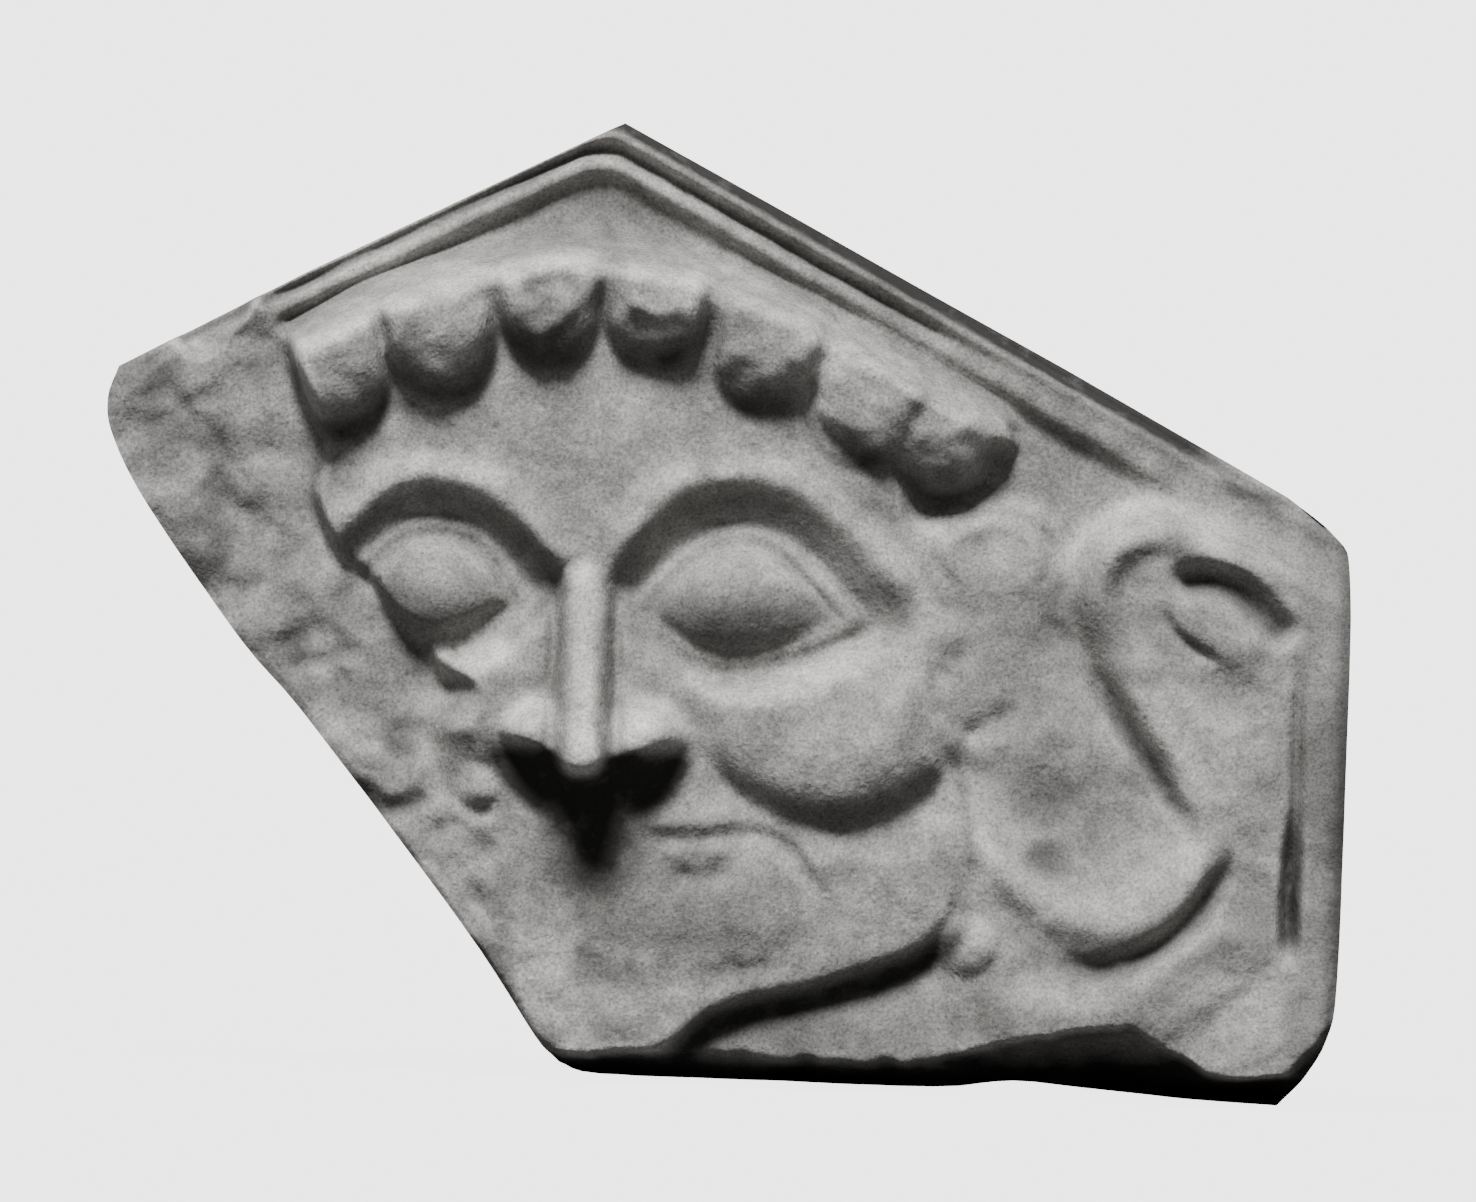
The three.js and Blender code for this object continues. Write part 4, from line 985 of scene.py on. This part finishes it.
@dataclass
class Plaque:
    """The antefix as one closed mesh: carved front, broken and plain sides, and a flat back.

    Attributes:
        columns: Stretches of the front's grid across.
        rows: Its stretches up to the mouldings.
        band_rows: Its stretches over the mouldings.
        side_rows: Stretches of the sides from the front to the back.
        back_rings: Sizes of the rings in the back, as shares of its outline.
        back_centre: Middle of those rings.
        lean: How far the grid shifts across the mouldings at their right end.
        arris: Radius of the front's rounded edge.
        dents: Depth of the dents in the plain and in the broken sides.
        side_stain: How stained the plain and the broken sides are.
        back_stain: How stained the back is.
        hidden_wear: How worn the sides and the back are.
        fine: Stretches in which the left and right sides are searched for a corner.
        relief: The carved front.
        outline: The four sides.
    """

    columns: int = 330
    rows: int = 196
    band_rows: int = 20
    side_rows: int = 11
    back_rings: tuple[float, ...] = (0.99, 0.955, 0.88, 0.74, 0.55, 0.34, 0.12)
    back_centre: tuple[float, float] = (26.0, -6.0)
    lean: float = 12.4
    arris: float = 1.3
    dents: tuple[float, float] = (0.35, 1.5)
    side_stain: tuple[float, float] = (0.3, 0.15)
    back_stain: float = 0.2
    hidden_wear: float = 0.1
    fine: int = 4000
    relief: Relief = field(default_factory=Relief)
    outline: Outline = field(default_factory=Outline)

    def band_foot(self, rake: Array) -> Array:
        """Places just inside the mouldings, below the places of the rakes."""
        m = self.relief.mouldings
        peak = int(np.argmax(rake[:, 1]))
        shift = np.interp(np.arange(len(rake)), [0, peak, len(rake) - 1], [0.0, m.axis, self.lean])
        x = rake[:, 0] + shift
        z = m.top - math.tan(math.radians(m.pitch)) * np.abs(x - m.axis) - 2.2
        return np.stack([x, np.minimum(z, rake[:, 1] - 3.0)], axis=1)

    def places(self) -> tuple[Array, Array]:
        """Spreads the grid of the front over the outline, with its rows along the mouldings near the rakes.

        Returns:
            Places across and up, each as rows from the foot up.
        """
        rake = self.outline.along(self.outline.rakes, self.columns, 1)
        peak = int(np.argmax(rake[:, 1]))
        rake[peak] = self.outline.rakes[3]
        foot = self.outline.along(self.outline.foot, self.columns, 4)
        total = self.rows + self.band_rows
        inner = self.band_foot(rake)
        sides = []
        for points, corner in ((self.outline.left, inner[0]), (self.outline.right, inner[-1])):
            side = self.outline.along(points, self.fine, 4)
            split = int(np.argmin(np.hypot(*(side - corner).T)))
            lower = side[np.linspace(0, split, self.rows + 1).astype(int)]
            upper = side[np.linspace(split, self.fine, self.band_rows + 1).astype(int)]
            sides.append((lower, upper))
        inner[0], inner[-1] = sides[0][0][-1], sides[1][0][-1]
        u = np.linspace(0.0, 1.0, self.columns + 1)[None, :, None]
        grid = np.zeros((total + 1, self.columns + 1, 2))
        for bottom, top, part, rows, first in (
            (foot, inner, 0, self.rows, 0),
            (inner, rake, 1, self.band_rows, self.rows),
        ):
            left, right = sides[0][part], sides[1][part]
            v = np.linspace(0.0, 1.0, rows + 1)[:, None, None]
            ruled = mix(bottom[None], top[None], v) + mix(left[:, None], right[:, None], u)
            corners = mix(mix(bottom[0], bottom[-1], u), mix(top[0], top[-1], u), v)
            grid[first:first + rows + 1] = ruled - corners
        return grid[..., 0], grid[..., 1]

    @staticmethod
    def blurred(values: Array, passes: int) -> Array:
        """Evens out a grid of values a few times with its neighbours."""
        out = values
        for _ in range(passes):
            padded = np.pad(out, 1, mode="edge")
            cross = padded[:-2, 1:-1] + padded[2:, 1:-1] + padded[1:-1, :-2] + padded[1:-1, 2:]
            out = 0.5 * out + 0.125 * cross
        return out

    def front(self, bm: bmesh.types.BMesh) -> None:
        """Makes the carved front and stores its painted shade and stain, and its wear and painted
        highlights.
        """
        total = self.rows + self.band_rows
        bmesh.ops.create_grid(bm, x_segments=self.columns, y_segments=total, size=0.5)
        x, z = self.places()
        height = self.blurred(self.relief.height(x, z), 3)
        reach = np.minimum(self.outline.whole().near(x, z, 6.0)[0] / self.arris, 1.0)
        height = height - self.arris * (1.0 - np.sqrt(np.clip(1.0 - (1.0 - reach) ** 2, 0.0, 1.0)))
        hollow = self.blurred(height, 60) - height
        # Painted shade: hollows of the relief are darkened, together with the painted shade and stains of
        # the parts.
        shade_and_stain = np.clip(np.maximum(self.relief.shade_and_stain(x, z), ramp(1.3, 6.0, hollow)), 0.0, 1.0)
        shade_and_stain = self.blurred(shade_and_stain, 5)
        # Paler on raised crests as wear, and where highlights are painted.
        crest = ramp(0.2, 2.4, self.blurred(height, 1) - self.blurred(height, 24))
        wear_and_highlight = np.maximum(np.where(hollow < 0, crest, 0.0), 0.95 * self.relief.painted_highlight(x, z))
        shade_and_stain_layer = bm.verts.layers.float.new("shade_and_stain")
        wear_and_highlight_layer = bm.verts.layers.float.new("wear_and_highlight")
        for vert in bm.verts:
            i = round((vert.co.x + 0.5) * self.columns)
            j = round((vert.co.y + 0.5) * total)
            vert[shade_and_stain_layer] = float(shade_and_stain[j, i])
            vert[wear_and_highlight_layer] = float(wear_and_highlight[j, i])
            vert.co = Vector((x[j, i], -height[j, i], z[j, i])) * MM

    def side_of(self, x: float, z: float) -> Side:
        """Which side of the plaque a place on its outline belongs to."""
        if z < -92.0 and x > -6.0:
            return Side.FOOT
        if x > 136.0:
            return Side.RIGHT
        return Side.RAKES if z > 95.0 - 0.56 * abs(x) else Side.BREAK

    @staticmethod
    def extruded(
        bm: bmesh.types.BMesh, rim: list[bmesh.types.BMEdge]
    ) -> tuple[list[bmesh.types.BMVert], list[bmesh.types.BMEdge]]:
        """Extrudes a rim and gives the new corners and the new rim."""
        made = bmesh.ops.extrude_edge_only(bm, edges=rim)["geom"]
        verts = [item for item in made if isinstance(item, bmesh.types.BMVert)]
        return verts, [item for item in made if isinstance(item, bmesh.types.BMEdge) and item.is_boundary]

    def walls(self, bm: bmesh.types.BMesh) -> list[bmesh.types.BMEdge]:
        """Draws the outline back to the flat back.

        Args:
            bm: The mesh, which has its front only.

        Returns:
            The edges round the back.
        """
        shade_and_stain_layer, wear_and_highlight_layer = bm.verts.layers.float["shade_and_stain"], bm.verts.layers.float["wear_and_highlight"]
        centre = Vector((self.back_centre[0], 0.0, self.back_centre[1])) * MM
        rim = [edge for edge in bm.edges if edge.is_boundary]
        outwards = {}
        for edge in rim:
            edge.smooth = False
            a, b = (vert.co for vert in edge.verts)
            normal = Vector((b.z - a.z, 0.0, a.x - b.x)).normalized()
            if normal.dot((a + b) / 2 - centre) < 0:
                normal.negate()
            for vert in edge.verts:
                outwards[vert] = outwards.get(vert, Vector()) + normal
        starts = {vert: (vert.co.copy(), vec.normalized()) for vert, vec in outwards.items()}
        for row in range(1, self.side_rows + 1):
            share = row / self.side_rows
            verts, rim = self.extruded(bm, rim)
            before = {}
            for vert in verts:
                source = next(e.other_vert(vert) for e in vert.link_edges if e.other_vert(vert) in starts)
                before[vert] = starts[source]
            starts = before
            for vert, (start, out) in starts.items():
                x, z, y = start.x / MM, start.z / MM, start.y / MM * (1.0 - share)
                run = np.array([x * 0.8 - z * 0.6])
                depth = np.array([y])
                broken = self.side_of(x, z) in (Side.BREAK, Side.FOOT)
                coarse = float(rough(run, depth, 15.0 if broken else 26.0, 81, 4)[0])
                swell = math.sin(math.pi * min(share, 0.8) / 0.8 * 0.9)
                dent = self.dents[broken] * (coarse - 0.9) * swell
                vert.co = Vector((x, y, z)) * MM + out * (min(dent, 0.0) * MM)
                vert[shade_and_stain_layer], vert[wear_and_highlight_layer] = self.side_stain[broken], self.hidden_wear
        return rim

    def back(self, bm: bmesh.types.BMesh, rim: list[bmesh.types.BMEdge]) -> None:
        """Closes the back with a flat face in rings."""
        centre = Vector((self.back_centre[0], 0.0, self.back_centre[1])) * MM
        shade_and_stain_layer, wear_and_highlight_layer = bm.verts.layers.float["shade_and_stain"], bm.verts.layers.float["wear_and_highlight"]
        for edge in rim:
            edge.smooth = False
        done = 1.0
        for share in self.back_rings:
            verts, rim = self.extruded(bm, rim)
            bmesh.ops.scale(bm, vec=Vector((share / done, 1.0, share / done)), verts=verts,
                            space=Matrix.Translation(-centre))
            done = share
            for vert in verts:
                x, z = vert.co.x / MM, vert.co.z / MM
                uneven = float(rough(np.array([x]), np.array([z]), 34.0, 91)[0])
                vert.co.y = -0.35 * max(uneven + 0.5, 0.0) * MM
                vert[shade_and_stain_layer], vert[wear_and_highlight_layer] = self.back_stain, self.hidden_wear
        cap = bmesh.ops.contextual_create(bm, geom=rim)["faces"]
        for vert in bmesh.ops.poke(bm, faces=cap)["verts"]:
            vert[shade_and_stain_layer], vert[wear_and_highlight_layer] = self.back_stain, self.hidden_wear

    def build(self) -> bpy.types.Object:
        """Makes the plaque's object."""
        bm = bmesh.new()
        self.front(bm)
        self.back(bm, self.walls(bm))
        bmesh.ops.recalc_face_normals(bm, faces=bm.faces)
        for face in bm.faces:
            face.smooth = True
        mesh = bpy.data.meshes.new("antefix_plaque")
        bm.to_mesh(mesh)
        bm.free()
        piece = bpy.data.objects.new("antefix_plaque", mesh)
        bpy.context.scene.collection.objects.link(piece)
        return piece


class Nodes:
    """A node tree with short calls to add and join its nodes."""

    def __init__(self, tree: bpy.types.NodeTree) -> None:
        """Takes the tree to work in."""
        self.tree = tree

    def add(self, kind: str, **settings: object) -> bpy.types.Node:
        """Adds a node; settings with a leading in_ set its inputs by name, with _ for a space."""
        node = self.tree.nodes.new(kind)
        for name, value in settings.items():
            if name.startswith("in_"):
                node.inputs[name[3:].replace("_", " ")].default_value = value
            else:
                setattr(node, name, value)
        return node

    def link(self, start: bpy.types.NodeSocket, end: bpy.types.NodeSocket) -> None:
        """Joins an output to an input."""
        self.tree.links.new(start, end)

    def feed(self, socket: bpy.types.NodeSocket, value: object) -> None:
        """Joins an output to an input, or sets the input to a value."""
        if isinstance(value, bpy.types.NodeSocket):
            self.link(value, socket)
        else:
            socket.default_value = value

    def math(self, operation: str, first: object, second: object) -> bpy.types.NodeSocket:
        """Adds a math node on two sockets or numbers."""
        node = self.add("ShaderNodeMath", operation=operation)
        for socket, value in zip(node.inputs, (first, second)):
            self.feed(socket, value)
        return node.outputs[0]

    def tint(self, blend: str, share: object, first: object, second: object) -> bpy.types.NodeSocket:
        """Mixes two colours."""
        node = self.add("ShaderNodeMix", data_type="RGBA", blend_type=blend)
        for index, value in ((0, share), (6, first), (7, second)):
            self.feed(node.inputs[index], value)
        return node.outputs[2]

    def remap(self, value: bpy.types.NodeSocket, low: float, high: float, to_low: float,
              to_high: float) -> bpy.types.NodeSocket:
        """Maps a value from one range to another, held at its ends."""
        node = self.add("ShaderNodeMapRange", in_From_Min=low, in_From_Max=high, in_To_Min=to_low,
                        in_To_Max=to_high)
        self.link(value, node.inputs["Value"])
        return node.outputs["Result"]


def shader_group(name: str, inputs: dict[str, tuple[str, object]], outputs: dict[str, str]) -> tuple[
        bpy.types.NodeTree, Nodes, bpy.types.Node, bpy.types.Node]:
    """Starts a shader group.

    Args:
        name: The group's name.
        inputs: Kind of socket and its first value, by name.
        outputs: Kind of socket, by name.

    Returns:
        The group, its nodes, and its input and output nodes.
    """
    tree = bpy.data.node_groups.new(name, "ShaderNodeTree")
    for label, (kind, value) in inputs.items():
        socket = tree.interface.new_socket(name=label, in_out="INPUT", socket_type=kind)
        if value is not None:
            socket.default_value = value
    for label, kind in outputs.items():
        tree.interface.new_socket(name=label, in_out="OUTPUT", socket_type=kind)
    nodes = Nodes(tree)
    return tree, nodes, nodes.add("NodeGroupInput"), nodes.add("NodeGroupOutput")


@dataclass(frozen=True)
class FiredClay:
    """Dry, fine-grained fired clay: mottled and speckled, darkened by painted shade and stain, and paled by
    wear and painted highlights.
    """

    body: tuple[float, float, float] = (0.25, 0.243, 0.232)
    pale: tuple[float, float, float] = (0.72, 0.705, 0.68)
    # Dark colour for painted shade, stains and specks.
    shade_and_dirt: tuple[float, float, float] = (0.03, 0.0285, 0.0265)
    roughness: float = 0.92
    speckle: float = 1.0
    bump_mm: float = 0.32

    def mottle(self) -> bpy.types.NodeTree:
        """Builds the group that gives the clay's colour variation."""
        tree, n, start, end = shader_group(
            "clay_mottle",
            {
                "Vector": ("NodeSocketVector", None),
                "Body": ("NodeSocketColor", (*self.body, 1.0)),
                "Pale": ("NodeSocketColor", (*self.pale, 1.0)),
                "ShadeAndDirt": ("NodeSocketColor", (*self.shade_and_dirt, 1.0)),
                "ShadeAndStain": ("NodeSocketFloat", 0.0),
                "WearAndHighlight": ("NodeSocketFloat", 0.0),
                "Speckle": ("NodeSocketFloat", self.speckle),
            },
            {"Color": "NodeSocketColor", "Roughness": "NodeSocketFloat"},
        )
        vector = start.outputs["Vector"]
        scales = {"broad": (38.0, 3.0, 0.55), "cloud": (210.0, 4.0, 0.6), "grain": (1500.0, 3.0, 0.7)}
        noises = {}
        for name, (scale, detail, roughness) in scales.items():
            node = n.add("ShaderNodeTexNoise", in_Scale=scale, in_Detail=detail, in_Roughness=roughness)
            n.link(vector, node.inputs["Vector"])
            noises[name] = node.outputs["Fac"]
        base = n.tint("MIX", n.remap(noises["broad"], 0.35, 0.65, 0.05, 0.5), start.outputs["Body"],
                      start.outputs["Pale"])
        # Paler with wear and painted highlights.
        base = n.tint("MIX", n.math("MULTIPLY", start.outputs["WearAndHighlight"], 0.85), base, start.outputs["Pale"])
        cloud = n.remap(noises["cloud"], 0.3, 0.7, 0.7, 1.24)
        grain = n.remap(noises["grain"], 0.25, 0.75, 0.46, 1.5)
        contrast = n.math("MULTIPLY", n.math("SUBTRACT", grain, 1.0), start.outputs["Speckle"])
        grain = n.math("ADD", contrast, 1.0)
        shade = n.math("MULTIPLY", cloud, grain)
        combine = n.add("ShaderNodeCombineColor")
        for socket in combine.inputs:
            n.link(shade, socket)
        base = n.tint("MULTIPLY", 1.0, base, combine.outputs[0])
        specks = n.add("ShaderNodeTexVoronoi", in_Scale=520.0, in_Randomness=1.0)
        n.link(vector, specks.inputs["Vector"])
        rare = n.math("MULTIPLY", n.remap(specks.outputs["Distance"], 0.05, 0.2, 1.0, 0.0),
                      n.remap(noises["cloud"], 0.5, 0.62, 0.0, 0.55))
        base = n.tint("MIX", rare, base, start.outputs["ShadeAndDirt"])
        # Darker with painted shade and stain.
        ragged = n.math("MULTIPLY", start.outputs["ShadeAndStain"], n.remap(noises["cloud"], 0.3, 0.7, 0.78, 1.14))
        shade_and_stain = n.remap(ragged, 0.05, 0.9, 0.0, 0.97)
        n.link(n.tint("MIX", shade_and_stain, base, start.outputs["ShadeAndDirt"]), end.inputs["Color"])
        n.link(n.remap(noises["cloud"], 0.3, 0.7, self.roughness - 0.06, self.roughness + 0.05),
               end.inputs["Roughness"])
        return tree

    def grain(self) -> bpy.types.NodeTree:
        """Builds the group that gives the height of grit and pits."""
        tree, n, start, end = shader_group(
            "clay_grain",
            {"Vector": ("NodeSocketVector", None)},
            {"Height": "NodeSocketFloat"},
        )
        vector = start.outputs["Vector"]
        heights = []
        for scale, detail, weight in ((330.0, 5.0, 0.9), (1300.0, 3.0, 0.5)):
            node = n.add("ShaderNodeTexNoise", in_Scale=scale, in_Detail=detail, in_Roughness=0.62)
            n.link(vector, node.inputs["Vector"])
            heights.append(n.math("MULTIPLY", node.outputs["Fac"], weight))
        pits = n.add("ShaderNodeTexVoronoi", in_Scale=300.0, in_Randomness=1.0)
        n.link(vector, pits.inputs["Vector"])
        pit = n.remap(pits.outputs["Distance"], 0.1, 0.32, -0.35, 0.0)
        n.link(n.math("ADD", n.math("ADD", *heights), pit), end.inputs["Height"])
        return tree

    def material(self) -> bpy.types.Material:
        """Builds the material."""
        material = bpy.data.materials.new("fired_clay")
        material.use_nodes = True
        n = Nodes(material.node_tree)
        shader = material.node_tree.nodes["Principled BSDF"]
        shader.inputs["Specular IOR Level"].default_value = 0.22
        place = n.add("ShaderNodeTexCoord").outputs["Object"]
        mottle = n.add("ShaderNodeGroup", node_tree=self.mottle())
        grain = n.add("ShaderNodeGroup", node_tree=self.grain())
        for group in (mottle, grain):
            n.link(place, group.inputs["Vector"])
        for label, layer in (("ShadeAndStain", "shade_and_stain"), ("WearAndHighlight", "wear_and_highlight")):
            n.link(n.add("ShaderNodeAttribute", attribute_name=layer).outputs["Fac"], mottle.inputs[label])
        n.link(mottle.outputs["Color"], shader.inputs["Base Color"])
        n.link(mottle.outputs["Roughness"], shader.inputs["Roughness"])
        bump = n.add("ShaderNodeBump", in_Strength=0.8, in_Distance=self.bump_mm * MM)
        n.link(grain.outputs["Height"], bump.inputs["Height"])
        n.link(bump.outputs["Normal"], shader.inputs["Normal"])
        return material


@dataclass(frozen=True)
class Studio:
    """Long lens from the front, a raking key light from above, a dim white surround and a pale floor."""

    aim: tuple[float, float] = (26.6, 0.9)
    field_mm: float = 295.2
    distance: float = 3.2
    relief_y: float = -0.034
    roll: float = -2.4
    key_turn: float = -8.0
    key_lift: float = 34.0
    key_strength: float = 5.6
    key_spread: float = 16.0
    fill: float = 0.14
    surround: float = 3.6
    white: tuple[float, ...] = (1.0, 1.0, 0.995, 1.0)
    floor_z: float = -0.0966
    floor_color: tuple[float, ...] = (0.12, 0.12, 0.119, 1.0)
    floor_bounce: float = 0.08

    def camera(self) -> None:
        """Places the camera and makes it the scene's."""
        data = bpy.data.cameras.new("camera")
        data.sensor_width = 36.0
        data.lens = data.sensor_width * self.distance / (self.field_mm * MM)
        data.clip_end = 50.0
        camera = bpy.data.objects.new("camera", data)
        camera.location = (self.aim[0] * MM, self.relief_y - self.distance, self.aim[1] * MM)
        turn = Matrix.Rotation(math.radians(self.roll), 4, "Y") @ Matrix.Rotation(math.radians(90.0), 4, "X")
        camera.rotation_euler = turn.to_euler()
        bpy.context.scene.collection.objects.link(camera)
        bpy.context.scene.camera = camera

    def key(self) -> None:
        """Places the key light, wide enough for soft edges to the shadows."""
        turn, lift = math.radians(self.key_turn), math.radians(self.key_lift)
        towards = Vector((math.sin(turn) * math.cos(lift), -math.sin(lift), math.cos(turn) * math.cos(lift)))
        data = bpy.data.lights.new("key", "SUN")
        data.energy = self.key_strength
        data.angle = math.radians(self.key_spread)
        key = bpy.data.objects.new("key", data)
        key.rotation_euler = (-towards).to_track_quat("-Z", "Y").to_euler()
        bpy.context.scene.collection.objects.link(key)

    def world(self) -> None:
        """Makes the surround near white for the camera and dim for the object."""
        world = bpy.data.worlds.new("surround")
        bpy.context.scene.world = world
        world.use_nodes = True
        n = Nodes(world.node_tree)
        background = world.node_tree.nodes["Background"]
        background.inputs["Color"].default_value = self.white
        ray = n.add("ShaderNodeLightPath").outputs["Is Camera Ray"]
        n.link(n.remap(ray, 0.0, 1.0, self.fill, self.surround), background.inputs["Strength"])

    def floor(self) -> None:
        """Lays a floor that takes shadows but looks as pale as the surround and throws little light back."""
        bm = bmesh.new()
        bmesh.ops.create_grid(bm, x_segments=4, y_segments=4, size=4.0)
        mesh = bpy.data.meshes.new("floor")
        bm.to_mesh(mesh)
        bm.free()
        floor = bpy.data.objects.new("floor", mesh)
        floor.location = (0.0, 0.0, self.floor_z)
        bpy.context.scene.collection.objects.link(floor)
        material = bpy.data.materials.new("pale_floor")
        material.use_nodes = True
        tree = material.node_tree
        tree.nodes.clear()
        n = Nodes(tree)
        lit = math.cos(math.radians(self.key_lift)) * self.key_strength / math.pi + self.fill
        seen = n.add("ShaderNodeAddShader")
        n.link(n.add("ShaderNodeBsdfDiffuse", in_Color=self.floor_color).outputs[0], seen.inputs[0])
        paleness = self.surround - self.floor_color[0] * lit
        glow = n.add("ShaderNodeEmission", in_Color=self.white, in_Strength=paleness)
        n.link(glow.outputs[0], seen.inputs[1])
        pale = self.floor_bounce
        bounce = n.add("ShaderNodeBsdfDiffuse", in_Color=(pale, pale, pale, 1.0))
        chosen = n.add("ShaderNodeMixShader")
        n.link(n.add("ShaderNodeLightPath").outputs["Is Camera Ray"], chosen.inputs[0])
        n.link(bounce.outputs[0], chosen.inputs[1])
        n.link(seen.outputs[0], chosen.inputs[2])
        n.link(chosen.outputs[0], n.add("ShaderNodeOutputMaterial").inputs["Surface"])
        mesh.materials.append(material)

    def build(self) -> None:
        """Sets up the whole studio."""
        self.camera()
        self.key()
        self.world()
        self.floor()


def main() -> None:
    """Builds the antefix and its studio."""
    logging.basicConfig(level=logging.INFO, format="%(name)s: %(message)s")
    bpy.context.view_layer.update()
    Studio().build()
    piece = Plaque().build()
    piece.data.materials.append(FiredClay().material())
    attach(piece, "root")
    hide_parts(NODE)
    triangles = sum(len(polygon.vertices) - 2 for polygon in piece.data.polygons)
    LOG.info("%s: %d triangles", piece.name, triangles)
    bpy.context.view_layer.update()


if __name__ == "__main__":
    main()
